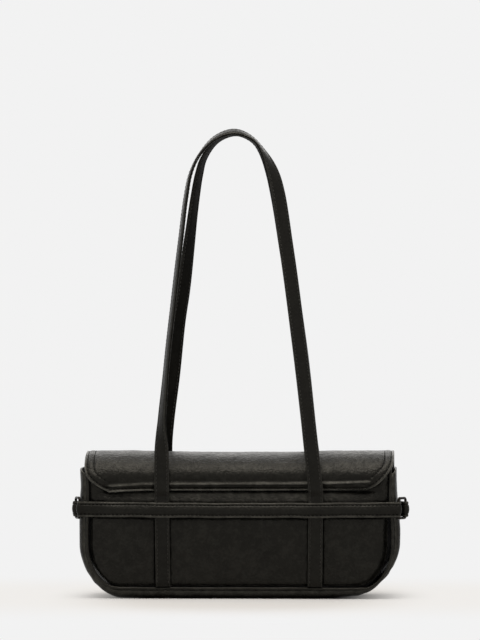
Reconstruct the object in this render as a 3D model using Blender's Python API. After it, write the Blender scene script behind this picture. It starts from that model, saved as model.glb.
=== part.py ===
"""Black leather shoulder bag with a flap, two long handles and a belt that runs round the body.

Metres, +Z up, X along the bag. The back, with the yoke, faces -Y and the flap opens at +Y.
The origin is on the floor, under the middle of the bag.
"""

import math

import bmesh
import bpy
from mathutils import Matrix, Vector

# Body
SEAM_HALF_LENGTH = 0.1415
SEAM_HEIGHT = 0.0114
SEAM_CORNER_X = 0.0300
SEAM_CORNER_Z = 0.0400
SEAM_CORNER_STEPS = 9
PANEL_FACE = 0.0420
PANEL_THICKNESS = 0.0020
SHOULDER_HEIGHT = 0.1115
PANEL_LIP = 0.0019
CLEARANCE = 0.0003

# Gusset, the band between the two panels
PIPING_RADIUS = 0.0014
GUSSET_THICKNESS = 0.0022
GUSSET_EDGE_RISE = 0.0030
GUSSET_SIDE_RISE = 0.0100
GUSSET_EDGE_ROUND = 0.0149
GUSSET_CROWN = 0.0120
GUSSET_ROUND_STEPS = 6

# Inside
STIFFENER_THICKNESS = 0.0011
LINING_THICKNESS = 0.0012
LINING_DROP = 0.0014
BOARD_THICKNESS = 0.0016
BOARD_INSET = 0.0015
BOARD_CORNER = 0.0080
POCKET_HALF_LENGTH = 0.0750
POCKET_BOTTOM = 0.0340
POCKET_HEIGHT = 0.0620
POCKET_DEPTH = 0.0055
POCKET_WALL = 0.0010

# Yoke and flap, one arch over the mouth of the bag
ARCH_OVERHANG = 0.0055
ARCH_RISE = 0.0280
ARCH_STEPS = 12
FLAP_LEATHER = 0.0014
FLAP_LINING = 0.0006
YOKE_DROP = 0.0095
FLAP_DROP = 0.0175
FLAP_HINGE_Y = -0.0200
CORNER_CUT_RISE = 0.0170
CORNER_CUT_RUN = 0.0255
CORNER_CUT_RADIUS = 0.0140
CORNER_POINT_RADIUS = 0.0030
NOTCH_INSIDE_STRAP = 0.0198
NOTCH_OUTSIDE_STRAP = 0.0097
NOTCH_RISE = 0.0145
NOTCH_RADIUS = 0.0100

# Magnetic snap
SNAP_ABOVE_FLAP_EDGE = 0.0095
SNAP_SOCKET_RADIUS = 0.0070
SNAP_STUD_RADIUS = 0.0060
SNAP_PLATE_RADIUS = 0.0085
SNAP_PLATE_THICKNESS = 0.0006
SNAP_STEPS = 32

# Belts and rings
BELT_HEIGHT = 0.0142
BELT_GAP = 0.0026
BELT_THICKNESS = 0.0018
BELT_LIFT_RUN = 0.0075
BELT_CORNER_INSET = 0.0015
BELT_SETTLE_RUN = 0.0120
BELT_EYE_WALL = 0.00115
BELT_CORNER_POWER = 2 / 3
BELT_CLIMB_STEPS = 6
BELT_SETTLE_STEPS = 8
BELT_CORNER_STEPS = 12
EYE_STEPS = 24
RING_WIRE_RADIUS = 0.00125
RING_BAR_SPACING = 0.01114
RING_TURN = math.radians(63.9)
RING_CORNER_RADIUS = 0.0020
RING_BELT_ROOM = 0.0004
RING_INSET = 0.0005
RING_NEAR_SLACK = 0.0001
RING_FAR_SLACK = 0.0006

# Handles
STRAP_X = 0.0728
STRAP_HALF_WIDTH = 0.0070
STRAP_THICKNESS = 0.0026
STRAP_OUTER_LEATHER = 0.0012
STRAP_STEP_RUN = 0.0031
STRAP_STEP_BELOW_YOKE = 0.0010
HANDLE_RISE = 0.3504
HANDLE_APEX_DEPTH = 0.0075
HANDLE_LEAN_BEND = 0.0300
HANDLE_SWING_LIMIT = math.radians(100)
HANDLE_STATION_STEP = 0.0012
HANDLE_UPPER_STRIDE = 5
STRAP_END_TURNS = (66, 45, 22)

# Centre lines of the handles seen from the back, left leg to right leg: x as a share of
# STRAP_X, and height as a share of the handle's rise above its pivot
BACK_HANDLE_ROUTE = [
    (-1.0, 0.0),
    (-1.0, 0.024),
    (-1.03, 0.132),
    (-0.97, 0.341),
    (-0.849, 0.569),
    (-0.718, 0.812),
    (-0.556, 0.934),
    (-0.35, 0.984),
    (-0.089, 1.0),
    (0.137, 0.98),
    (0.295, 0.943),
    (0.446, 0.874),
    (0.604, 0.675),
    (0.782, 0.404),
    (0.929, 0.132),
    (1.0, 0.024),
    (1.0, 0.0),
]
FRONT_HANDLE_ROUTE = [
    (-1.0, 0.0),
    (-1.0, 0.024),
    (-0.978, 0.132),
    (-0.871, 0.341),
    (-0.742, 0.569),
    (-0.618, 0.812),
    (-0.474, 0.934),
    (-0.295, 0.984),
    (-0.069, 1.0),
    (0.13, 0.98),
    (0.282, 0.943),
    (0.426, 0.874),
    (0.584, 0.675),
    (0.762, 0.404),
    (0.913, 0.132),
    (1.0, 0.024),
    (1.0, 0.0),
]
# Turn of each strap about its own line up a leg: share of the rise, and degrees
BACK_LEFT_TURN = [(0.09, 0), (0.22, 52), (0.34, 65), (0.67, 69), (0.93, 72), (1.0, 90)]
BACK_RIGHT_TURN = [(0.08, 0), (0.20, 28), (0.67, 28), (0.85, 32), (0.95, 62), (1.0, 90)]
FRONT_LEFT_TURN = [(0.27, 0), (0.47, 38), (0.67, 45), (0.87, 50), (0.95, 66), (1.0, 90)]
FRONT_RIGHT_TURN = [(0.27, 0), (0.47, 20), (0.67, 28), (0.85, 32), (0.95, 62), (1.0, 90)]

# Worked out from the sizes above
PANEL_INNER = PANEL_FACE - PANEL_THICKNESS
PANEL_TOP = SHOULDER_HEIGHT + PANEL_LIP
PIPING_RISE = CLEARANCE + PIPING_RADIUS
PIPING_Y = PANEL_FACE - PIPING_RADIUS
GUSSET_HALF_WIDTH = PIPING_Y - PIPING_RADIUS - CLEARANCE
GUSSET_FLAT_HALF_WIDTH = GUSSET_HALF_WIDTH - GUSSET_EDGE_ROUND
GUSSET_BOTTOM_RISE = SEAM_HEIGHT
GUSSET_TOP = SHOULDER_HEIGHT + GUSSET_CROWN
STIFFENER_OUTER = PANEL_INNER - CLEARANCE
STIFFENER_INNER = STIFFENER_OUTER - STIFFENER_THICKNESS
BOARD_BOTTOM = GUSSET_THICKNESS + CLEARANCE
BOARD_TOP = BOARD_BOTTOM + BOARD_THICKNESS
BOARD_HALF_LENGTH = SEAM_HALF_LENGTH - SEAM_CORNER_X - BOARD_INSET
LINING_HALF_WIDTH = STIFFENER_INNER - CLEARANCE
LINING_TOP = PANEL_TOP - LINING_DROP
LINING_RISE = SEAM_HEIGHT - BOARD_TOP - CLEARANCE
LINING_EDGE_RISE = GUSSET_EDGE_RISE - GUSSET_THICKNESS
POCKET_TOP = POCKET_BOTTOM + POCKET_HEIGHT
FLAP_LINING_INNER = PANEL_FACE + CLEARANCE
FLAP_LINING_OUTER = FLAP_LINING_INNER + FLAP_LINING
FLAP_INNER = FLAP_LINING_OUTER + CLEARANCE
FLAP_OUTER = FLAP_INNER + FLAP_LEATHER
ARCH_HALF_LENGTH = SEAM_HALF_LENGTH + ARCH_OVERHANG
ARCH_RIDGE = SHOULDER_HEIGHT + ARCH_RISE
YOKE_EDGE = SHOULDER_HEIGHT - YOKE_DROP
FLAP_EDGE = SHOULDER_HEIGHT - FLAP_DROP
NOTCH_INNER = STRAP_X - NOTCH_INSIDE_STRAP
NOTCH_OUTER = STRAP_X + NOTCH_OUTSIDE_STRAP
NOTCH_TOP = SHOULDER_HEIGHT + NOTCH_RISE
SNAP_HEIGHT = FLAP_EDGE + SNAP_ABOVE_FLAP_EDGE
BELT_TOP = FLAP_EDGE - BELT_GAP
BELT_BOTTOM = BELT_TOP - BELT_HEIGHT
BELT_CENTRE = BELT_TOP - BELT_HEIGHT / 2
BELT_LINE = PANEL_FACE + CLEARANCE + BELT_THICKNESS / 2
BELT_OVER_STRAP = PANEL_FACE + STRAP_THICKNESS + 2 * CLEARANCE + BELT_THICKNESS / 2
BELT_EDGE_Y = BELT_OVER_STRAP + BELT_THICKNESS / 2
BELT_SIDE_X = SEAM_HALF_LENGTH + GUSSET_SIDE_RISE + CLEARANCE + BELT_THICKNESS / 2
RING_NEAR_X = SEAM_HALF_LENGTH + GUSSET_SIDE_RISE - RING_INSET
RING_FAR_X = RING_NEAR_X + RING_BAR_SPACING * math.cos(RING_TURN)
RING_FAR_Y = RING_BAR_SPACING * math.sin(RING_TURN) - BELT_LINE
STRAP_HALF = STRAP_THICKNESS / 2
ANCHOR_LINE = PANEL_FACE + CLEARANCE + STRAP_HALF
STRAP_LINE = FLAP_OUTER + CLEARANCE + STRAP_HALF


def pivot_height():
    """Height at which a handle swung down to its limit still clears the belt's top edge."""
    across = BELT_EDGE_Y - ANCHOR_LINE
    need = STRAP_HALF + CLEARANCE - across * math.cos(HANDLE_SWING_LIMIT)
    return BELT_TOP + need / math.sin(HANDLE_SWING_LIMIT)


PIVOT_HEIGHT = pivot_height()
ANCHOR_TOP = PIVOT_HEIGHT - STRAP_HALF - CLEARANCE
HANDLE_APEX_HEIGHT = PIVOT_HEIGHT + HANDLE_RISE


# Scene and materials


def clear_scene():
    for obj in list(bpy.data.objects):
        bpy.data.objects.remove(obj, do_unlink=True)


def material(name, colour, roughness, metallic=0.0):
    made = bpy.data.materials.new(name)
    made.use_nodes = True
    shader = made.node_tree.nodes["Principled BSDF"]
    shader.inputs["Base Color"].default_value = (*colour, 1.0)
    shader.inputs["Roughness"].default_value = roughness
    shader.inputs["Metallic"].default_value = metallic
    made.diffuse_color = (*colour, 1.0)
    return made


# Mesh helpers


def link(name, mesh, look, origin=(0, 0, 0)):
    """A new object of this mesh, with its origin moved to a point of the joint axis it turns on."""
    obj = bpy.data.objects.new(name, mesh)
    mesh.transform(Matrix.Translation(-Vector(origin)))
    obj.location = origin
    mesh.materials.append(look)
    mesh.shade_smooth()
    mesh.set_sharp_from_angle(angle=math.radians(35))
    bpy.context.scene.collection.objects.link(obj)
    return obj


def mesh_of(name, points, faces):
    mesh = bpy.data.meshes.new(name)
    mesh.from_pydata(points, [], faces)
    shape = bmesh.new()
    shape.from_mesh(mesh)
    bmesh.ops.recalc_face_normals(shape, faces=shape.faces)
    shape.to_mesh(mesh)
    shape.free()
    return mesh


def loft(name, rings):
    """A closed body through rings of equal length, with a flat cap at each end."""
    count = len(rings[0])
    points = [point for ring in rings for point in ring]
    faces = [tuple(range(count)), tuple(range(len(points) - count, len(points)))]
    for first in range(0, len(points) - count, count):
        for k in range(count):
            after = (k + 1) % count
            faces.append((first + k, first + after, first + count + after, first + count + k))
    return mesh_of(name, points, faces)


def slab_y(name, outline, y_low, y_high):
    """An outline in x and z, extruded between two values of y."""
    return loft(name, [[(x, y, z) for x, z in outline] for y in (y_low, y_high)])


def slab_z(name, outline, z_low, z_high):
    """An outline in x and y, extruded between two values of z."""
    return loft(name, [[(x, y, z) for x, y in outline] for z in (z_low, z_high)])


def disc_outline(x, z, radius, steps=SNAP_STEPS):
    turns = [2 * math.pi * k / steps for k in range(steps)]
    return [(x + radius * math.cos(turn), z + radius * math.sin(turn)) for turn in turns]


def boolean(obj, mesh, operation):
    """Cuts the object by a mesh, joins it to one or keeps what they share."""
    tool = bpy.data.objects.new(mesh.name, mesh)
    tool.hide_render = True
    tool.display_type = "WIRE"
    bpy.context.scene.collection.objects.link(tool)
    modifier = obj.modifiers.new(mesh.name, "BOOLEAN")
    modifier.operation = operation
    modifier.solver = "EXACT"
    modifier.object = tool
    tool.parent = obj
    tool.matrix_parent_inverse = Matrix.Translation(-obj.location)


def smooth_step(value):
    value = min(max(value, 0.0), 1.0)
    return value * value * (3 - 2 * value)


def rounded(corners, steps=6):
    """A polygon with its corners rounded. Each corner is (x, z, radius)."""
    outline = []
    for k, (x, z, radius) in enumerate(corners):
        here = Vector((x, z))
        if radius == 0:
            outline.append((x, z))
            continue
        before = (Vector(corners[k - 1][:2]) - here).normalized()
        after = (Vector(corners[(k + 1) % len(corners)][:2]) - here).normalized()
        half = before.angle(after) / 2
        centre = here + (before + after).normalized() * radius / math.sin(half)
        start = here + before * radius / math.tan(half) - centre
        sweep = start.angle_signed(here + after * radius / math.tan(half) - centre)
        for step in range(steps + 1):
            turned = start.copy()
            turned.rotate(Matrix.Rotation(-sweep * step / steps, 2))
            outline.append(tuple(centre + turned))
    return outline


# Outline of the seam between a panel and the gusset


def seam_line(side_rise, bottom_rise, top):
    """Points (x, z) of the seam from its top left to its top right, moved out by a rise."""
    centre_x = SEAM_HALF_LENGTH - SEAM_CORNER_X
    centre_z = SEAM_HEIGHT + SEAM_CORNER_Z
    right = [(SEAM_HALF_LENGTH + side_rise, top)]
    for step in range(SEAM_CORNER_STEPS + 1):
        turn = math.pi / 2 * step / SEAM_CORNER_STEPS
        along, down = math.cos(turn), math.sin(turn)
        normal = Vector((along / SEAM_CORNER_X, -down / SEAM_CORNER_Z)).normalized()
        rise = side_rise * normal.x ** 2 + bottom_rise * normal.y ** 2
        x = centre_x + SEAM_CORNER_X * along + normal.x * rise
        z = centre_z - SEAM_CORNER_Z * down + normal.y * rise
        right.append((x, z))
    left = [(-x, z) for x, z in right]
    return left + right[::-1]


def even_seam(rise, top):
    return seam_line(rise, rise, top)


def puff(y, half_width, edge, rise):
    """How far a band that is flat in the middle stands out at this distance from its middle."""
    past = (abs(y) - GUSSET_FLAT_HALF_WIDTH) / (half_width - GUSSET_FLAT_HALF_WIDTH)
    if past <= 0:
        return rise
    return edge + (rise - edge) * math.sqrt(max(0.0, 1 - past * past))


def band_stations(half_width):
    """Distances across a band, closer together where it turns down to its edges."""
    run = half_width - GUSSET_FLAT_HALF_WIDTH
    turned = [
        GUSSET_FLAT_HALF_WIDTH + run * math.sin(math.pi / 2 * step / GUSSET_ROUND_STEPS)
        for step in range(GUSSET_ROUND_STEPS + 1)
    ]
    return [-y for y in reversed(turned)] + turned


# Body pieces


def panel(name, side, look):
    outline = even_seam(0.0, PANEL_TOP)
    return link(name, slab_y(name, outline, side * PANEL_INNER, side * PANEL_FACE), look)


def stiffener(name, side, look):
    outline = even_seam(-CLEARANCE, LINING_TOP)
    return link(name, slab_y(name, outline, side * STIFFENER_INNER, side * STIFFENER_OUTER), look)


def gusset_top(y):
    """The gusset's top edge is crowned, so that it stays inside the arch of the flap."""
    past = (abs(y) - GUSSET_FLAT_HALF_WIDTH) / (GUSSET_HALF_WIDTH - GUSSET_FLAT_HALF_WIDTH)
    return GUSSET_TOP - (GUSSET_TOP - LINING_TOP) * max(0.0, past) ** 2


def gusset(look):
    stations = band_stations(GUSSET_HALF_WIDTH)
    lines = []
    for thickness in (0.0, GUSSET_THICKNESS):
        for y in stations if thickness == 0 else reversed(stations):
            side = puff(y, GUSSET_HALF_WIDTH, GUSSET_EDGE_RISE, GUSSET_SIDE_RISE) - thickness
            bottom = puff(y, GUSSET_HALF_WIDTH, GUSSET_EDGE_RISE, GUSSET_BOTTOM_RISE) - thickness
            line = seam_line(side, bottom, gusset_top(y))
            lines.append([(x, y, z) for x, z in line])
    count = len(lines[0])
    section = len(lines)
    points = [point for line in lines for point in line]
    faces = []
    for m in range(section):
        after = (m + 1) % section
        for k in range(count - 1):
            a, b = m * count + k, after * count + k
            faces.append((a, a + 1, b + 1, b))
    for end in (0, count - 1):
        for m in range(section // 2 - 1):
            across = section - 1 - m
            faces.append([row * count + end for row in (m, m + 1, across - 1, across)])
    return link("gusset", mesh_of("gusset", points, faces), look)


def piping(name, side, look):
    line = even_seam(PIPING_RISE, PANEL_TOP - 2 * PIPING_RADIUS)
    curve = bpy.data.curves.new(name, "CURVE")
    curve.dimensions = "3D"
    spline = curve.splines.new("POLY")
    spline.points.add(len(line) - 1)
    for point, (x, z) in zip(spline.points, line):
        point.co = (x, side * PIPING_Y, z, 1)
    curve.bevel_depth = PIPING_RADIUS
    curve.bevel_resolution = 2
    curve.use_fill_caps = True
    curve.materials.append(look)
    obj = bpy.data.objects.new(name, curve)
    bpy.context.scene.collection.objects.link(obj)
    return obj


def bucket_rings(half_width, edge, rise, top):
    """Sections of the lining across the bag, which follow the puffed gusset from inside."""
    rings = []
    for y in band_stations(half_width):
        out = puff(y, half_width, edge, rise)
        rings.append([(x, y, z) for x, z in even_seam(out, top)])
    return rings


def lining(look):
    outer = bucket_rings(LINING_HALF_WIDTH, LINING_EDGE_RISE, LINING_RISE, LINING_TOP)
    inner = bucket_rings(
        LINING_HALF_WIDTH - LINING_THICKNESS,
        LINING_EDGE_RISE - LINING_THICKNESS,
        LINING_RISE - LINING_THICKNESS,
        LINING_TOP + LINING_THICKNESS,
    )
    obj = link("lining", loft("lining", outer), look)
    boolean(obj, loft("lining_inside", inner), "DIFFERENCE")
    return obj


def base_board(look):
    corners = [
        (sign_x * BOARD_HALF_LENGTH, sign_y * GUSSET_FLAT_HALF_WIDTH, BOARD_CORNER)
        for sign_x, sign_y in ((-1, -1), (1, -1), (1, 1), (-1, 1))
    ]
    mesh = slab_z("base_board", rounded(corners), BOARD_BOTTOM, BOARD_TOP)
    return link("base_board", mesh, look)


def inner_pocket(look):
    """A slip pocket sewn to the lining's back wall along its sides and its bottom."""
    wall = -(LINING_HALF_WIDTH - LINING_THICKNESS - CLEARANCE)
    face = wall + POCKET_DEPTH + POCKET_WALL

    def outline(inset, top):
        reach = POCKET_HALF_LENGTH - inset
        low = POCKET_BOTTOM + inset
        return rounded(
            [
                (-reach, low, BOARD_CORNER - inset),
                (reach, low, BOARD_CORNER - inset),
                (reach, top, 0),
                (-reach, top, 0),
            ]
        )

    obj = link("inner_pocket", slab_y("inner_pocket", outline(0, POCKET_TOP), wall, face), look)
    room = slab_y(
        "inner_pocket_room",
        outline(POCKET_WALL, POCKET_TOP + POCKET_WALL),
        wall - POCKET_WALL,
        face - POCKET_WALL,
    )
    boolean(obj, room, "DIFFERENCE")
    return obj


# Yoke and flap


def arch_line(depth, low, side, y_end=None):
    """Points (y, z) of the arch from its lower edge on one side up to y_end, at this depth."""
    rise = ARCH_RISE - (FLAP_OUTER - depth)
    last = math.acos(min(1.0, abs(y_end) / depth)) if y_end is not None else math.pi / 2
    line = [(side * depth, low)]
    for step in range(ARCH_STEPS + 1):
        turn = last * step / ARCH_STEPS
        line.append((side * depth * math.cos(turn), SHOULDER_HEIGHT + rise * math.sin(turn)))
    return line


def arch_shell(name, outer, inner, look, trim, origin=(0, 0, 0)):
    """The arch between two lines, along the bag, with its front or back outline trimmed."""
    section = outer + inner[::-1]
    ends = (-ARCH_HALF_LENGTH, ARCH_HALF_LENGTH)
    rings = [[(x, y, z) for y, z in section] for x in ends]
    obj = link(name, loft(name, rings), look, origin)
    boolean(obj, trim, "INTERSECT")
    return obj


def arch_outline(low, notches):
    """Outline (x, z) of the arch with its lower corners cut and, at the front, its notches."""
    over = ARCH_RIDGE + ARCH_RISE
    right = [(ARCH_HALF_LENGTH, low + CORNER_CUT_RISE, CORNER_CUT_RADIUS)]
    right.append((ARCH_HALF_LENGTH - CORNER_CUT_RUN, low, CORNER_POINT_RADIUS))
    if notches:
        right.append((NOTCH_OUTER, low, 0))
        right.append((NOTCH_OUTER, NOTCH_TOP, NOTCH_RADIUS))
        right.append((NOTCH_INNER, NOTCH_TOP, NOTCH_RADIUS))
        right.append((NOTCH_INNER, low, 0))
    left = [(-x, z, radius) for x, z, radius in reversed(right)]
    return rounded([(ARCH_HALF_LENGTH, over, 0)] + right + left + [(-ARCH_HALF_LENGTH, over, 0)])


def yoke_piece(name, outer_depth, inner_depth, look):
    end = FLAP_HINGE_Y - CLEARANCE / 2
    outer = arch_line(outer_depth, YOKE_EDGE, -1, end)
    inner = arch_line(inner_depth, YOKE_EDGE, -1, end)
    outline = arch_outline(YOKE_EDGE, False)
    trim = slab_y(name + "_outline", outline, -2 * PANEL_FACE, 0)
    return arch_shell(name, outer, inner, look, trim)


def hinge_height():
    rise = math.sqrt(1 - (FLAP_HINGE_Y / FLAP_OUTER) ** 2)
    return SHOULDER_HEIGHT + ARCH_RISE * rise


def flap_piece(name, outer_depth, inner_depth, look):
    end = FLAP_HINGE_Y + CLEARANCE / 2
    lines = []
    for depth in (outer_depth, inner_depth):
        front = arch_line(depth, FLAP_EDGE, 1)
        over_back = arch_line(depth, FLAP_EDGE, -1)[1:-1][::-1]
        kept = [(y, z) for y, z in over_back if y > end]
        rise = ARCH_RISE - (FLAP_OUTER - depth)
        last = (end, SHOULDER_HEIGHT + rise * math.sqrt(1 - (end / depth) ** 2))
        lines.append((front, kept, last))
    outer = lines[0][0] + lines[0][1] + [lines[0][2]]
    inner = lines[1][0] + lines[1][1] + [lines[1][2]]
    outline = arch_outline(FLAP_EDGE, True)
    trim = slab_y(name + "_outline", outline, -PANEL_FACE, 2 * PANEL_FACE)
    return arch_shell(name, outer, inner, look, trim, (0, FLAP_HINGE_Y, hinge_height()))


# Magnetic snap


def disc(name, radius, y_low, y_high, look, origin=(0, 0, 0)):
    mesh = slab_y(name, disc_outline(0, SNAP_HEIGHT, radius), y_low, y_high)
    return link(name, mesh, look, origin)


def disc_hole(obj, name, radius, y_low, y_high):
    """A round hole, or a recess, for a disc of the snap."""
    outline = disc_outline(0, SNAP_HEIGHT, radius + CLEARANCE)
    boolean(obj, slab_y(name, outline, y_low, y_high), "DIFFERENCE")


def snap(front_panel, front_stiffener, flap, flap_lining, look):
    hinge = (0, FLAP_HINGE_Y, hinge_height())
    plate = SNAP_PLATE_THICKNESS
    reach = PANEL_FACE + PANEL_THICKNESS
    disc("snap_socket", SNAP_SOCKET_RADIUS, PANEL_INNER, PANEL_FACE, look)
    disc_hole(front_panel, "socket_hole", SNAP_SOCKET_RADIUS, STIFFENER_OUTER, reach)
    washer_back = STIFFENER_OUTER - plate
    disc("snap_socket_washer", SNAP_PLATE_RADIUS, washer_back, STIFFENER_OUTER, look)
    disc_hole(front_stiffener, "washer_hole", SNAP_PLATE_RADIUS, LINING_HALF_WIDTH, PANEL_INNER)
    disc("snap_stud", SNAP_STUD_RADIUS, FLAP_LINING_INNER, FLAP_LINING_OUTER, look, hinge)
    disc_hole(flap_lining, "stud_hole", SNAP_STUD_RADIUS, PANEL_FACE, FLAP_INNER)
    disc("snap_stud_plate", SNAP_PLATE_RADIUS, FLAP_INNER, FLAP_INNER + plate, look, hinge)
    recess_end = FLAP_INNER + plate + CLEARANCE
    disc_hole(flap, "plate_recess", SNAP_PLATE_RADIUS, FLAP_LINING_OUTER, recess_end)


# Belts and rings


def belt_face_line(side, x):
    """Distance from the middle of the bag at which the belt's own middle lies, over x."""
    past = (abs(abs(x) - STRAP_X) - STRAP_HALF_WIDTH - CLEARANCE) / BELT_LIFT_RUN
    lift = 1 - smooth_step(past)
    return side * (BELT_LINE + (BELT_OVER_STRAP - BELT_LINE) * lift)


def belt_face_points(side, reach):
    """Points (x, y) of the belt across one face, close together where it climbs over a strap."""
    stations = {-reach, reach}
    for strap in (-STRAP_X, STRAP_X):
        for step in range(BELT_CLIMB_STEPS + 1):
            away = STRAP_HALF_WIDTH + CLEARANCE + BELT_LIFT_RUN * step / BELT_CLIMB_STEPS
            stations |= {strap - away, strap + away}
    return [(x, belt_face_line(side, x)) for x in sorted(stations)]


def strip_outline(line, thickness):
    """The outline of a strip of this thickness along a line in x and y."""
    left, right = [], []
    for k, point in enumerate(line):
        before = Vector(line[max(k - 1, 0)])
        after = Vector(line[min(k + 1, len(line) - 1)])
        along = (after - before).normalized()
        normal = Vector((-along.y, along.x)) * thickness / 2
        left.append(tuple(Vector(point) + normal))
        right.append(tuple(Vector(point) - normal))
    return left + right[::-1]


def belt(name, line, ring_points, hole_radius, look):
    """A leather strip set on edge, with an eye at each end for a bar of its ring."""
    outline = strip_outline(line, BELT_THICKNESS)
    obj = link(name, slab_z(name, outline, BELT_BOTTOM, BELT_TOP), look)
    for number, (x, y) in enumerate(ring_points):
        eye = disc_outline(x, y, hole_radius + BELT_EYE_WALL, EYE_STEPS)
        boolean(obj, slab_z(f"{name}_eye_{number}", eye, BELT_BOTTOM, BELT_TOP), "UNION")
        hole = disc_outline(x, y, hole_radius, EYE_STEPS)
        past = BELT_HEIGHT / 4
        cut = slab_z(f"{name}_eye_hole_{number}", hole, BELT_BOTTOM - past, BELT_TOP + past)
        boolean(obj, cut, "DIFFERENCE")
    return obj


def back_belt(look):
    near_y = -BELT_LINE
    inside = RING_NEAR_X - RING_WIRE_RADIUS
    line = belt_face_points(-1, inside)
    rings = [(-RING_NEAR_X, near_y), (RING_NEAR_X, near_y)]
    hole = RING_WIRE_RADIUS + CLEARANCE + RING_NEAR_SLACK
    return belt("back_belt", line, rings, hole, look)


def front_belt(look):
    """It runs from the ring at one side round the front of the bag to the ring at the other."""
    corner_x, corner_y = SEAM_HALF_LENGTH - BELT_CORNER_INSET, GUSSET_FLAT_HALF_WIDTH
    right = []
    for step in range(BELT_SETTLE_STEPS + 1):
        share = step / BELT_SETTLE_STEPS
        shift = (RING_FAR_X - BELT_SIDE_X) * (1 - smooth_step(share))
        right.append((BELT_SIDE_X + shift, RING_FAR_Y + BELT_SETTLE_RUN * share))
    for step in range(BELT_CORNER_STEPS + 1):
        turn = math.pi / 2 * step / BELT_CORNER_STEPS
        x = corner_x + (BELT_SIDE_X - corner_x) * math.cos(turn) ** BELT_CORNER_POWER
        y = corner_y + (BELT_LINE - corner_y) * math.sin(turn) ** BELT_CORNER_POWER
        right.append((x, y))
    face = belt_face_points(1, corner_x)[1:-1]
    left = [(-x, y) for x, y in right]
    rings = [(-RING_FAR_X, RING_FAR_Y), (RING_FAR_X, RING_FAR_Y)]
    hole = RING_WIRE_RADIUS + CLEARANCE + RING_FAR_SLACK
    return belt("front_belt", left + face + right[::-1], rings, hole, look)


def ring(name, side, look):
    """A rectangular wire loop. Its bar in the back belt is the axis that it turns on."""
    near = Vector((side * RING_NEAR_X, -BELT_LINE))
    far = Vector((side * RING_FAR_X, RING_FAR_Y))
    across = far - near
    width = across.length
    half_height = BELT_HEIGHT / 2 + RING_BELT_ROOM + RING_WIRE_RADIUS
    corners = [
        (0, -half_height, RING_CORNER_RADIUS),
        (width, -half_height, RING_CORNER_RADIUS),
        (width, half_height, RING_CORNER_RADIUS),
        (0, half_height, RING_CORNER_RADIUS),
    ]
    loop = rounded(corners, 4)
    curve = bpy.data.curves.new(name, "CURVE")
    curve.dimensions = "3D"
    spline = curve.splines.new("POLY")
    spline.points.add(len(loop) - 1)
    for point, (along, up) in zip(spline.points, loop):
        place = across * along / width
        point.co = (place.x, place.y, up, 1)
    spline.use_cyclic_u = True
    curve.bevel_depth = RING_WIRE_RADIUS
    curve.bevel_resolution = 2
    curve.materials.append(look)
    obj = bpy.data.objects.new(name, curve)
    obj.location = (near.x, near.y, BELT_CENTRE)
    bpy.context.scene.collection.objects.link(obj)
    return obj


# Straps and handles


def strap_anchor(name, side, x, look):
    """The sewn lower end of a handle strap, from the bottom seam up through the belt."""
    low = SEAM_HEIGHT + CLEARANCE
    outline = [
        (x - STRAP_HALF_WIDTH, low),
        (x + STRAP_HALF_WIDTH, low),
        (x + STRAP_HALF_WIDTH, ANCHOR_TOP),
        (x - STRAP_HALF_WIDTH, ANCHOR_TOP),
    ]
    inner = PANEL_FACE + CLEARANCE
    return link(name, slab_y(name, outline, side * inner, side * (inner + STRAP_THICKNESS)), look)


def handle_depth(z):
    """Distance of a handle's line from the middle of the bag: out over the yoke, then inwards."""
    step_start = YOKE_EDGE - STRAP_STEP_BELOW_YOKE - STRAP_STEP_RUN
    out = smooth_step((z - step_start) / STRAP_STEP_RUN)
    depth = ANCHOR_LINE + (STRAP_LINE - ANCHOR_LINE) * out
    run = HANDLE_APEX_HEIGHT - SHOULDER_HEIGHT - HANDLE_LEAN_BEND / 2
    slope = (STRAP_LINE - HANDLE_APEX_DEPTH) / run
    past = z - SHOULDER_HEIGHT
    if past <= 0:
        return depth
    if past < HANDLE_LEAN_BEND:
        return depth - slope * past * past / (2 * HANDLE_LEAN_BEND)
    return depth - slope * (past - HANDLE_LEAN_BEND / 2)


def spline_through(points, step):
    """A smooth line through hand-placed points, sampled about every step."""
    ends = [Vector(points[0]) * 2 - Vector(points[1]), Vector(points[-1]) * 2 - Vector(points[-2])]
    knots = [ends[0]] + [Vector(point) for point in points] + [ends[1]]
    times = [0.0]
    for a, b in zip(knots, knots[1:]):
        times.append(times[-1] + math.sqrt((b - a).length))
    line = []
    for k in range(1, len(knots) - 2):
        count = max(1, round((knots[k + 1] - knots[k]).length / step))
        for n in range(count):
            t = times[k] + (times[k + 1] - times[k]) * n / count
            line.append(catmull_rom(knots[k - 1 : k + 3], times[k - 1 : k + 3], t))
    line.append(knots[-2])
    return line


def catmull_rom(p, t, now):
    """One point of a centripetal Catmull-Rom line between its two middle knots."""

    def mix(a, b, low, high):
        return a * ((high - now) / (high - low)) + b * ((now - low) / (high - low))

    a1, a2, a3 = (mix(p[k], p[k + 1], t[k], t[k + 1]) for k in range(3))
    b1, b2 = mix(a1, a2, t[0], t[2]), mix(a2, a3, t[1], t[3])
    return mix(b1, b2, t[1], t[2])


def turn_at(z, turns):
    """The strap's turn at this height, between the ones listed for the leg."""
    share = (z - PIVOT_HEIGHT) / HANDLE_RISE
    for (low, first), (high, last) in zip(turns, turns[1:]):
        if share <= high:
            between = smooth_step((share - low) / (high - low))
            return math.radians(first + (last - first) * between)
    return math.radians(turns[-1][1])


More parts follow.
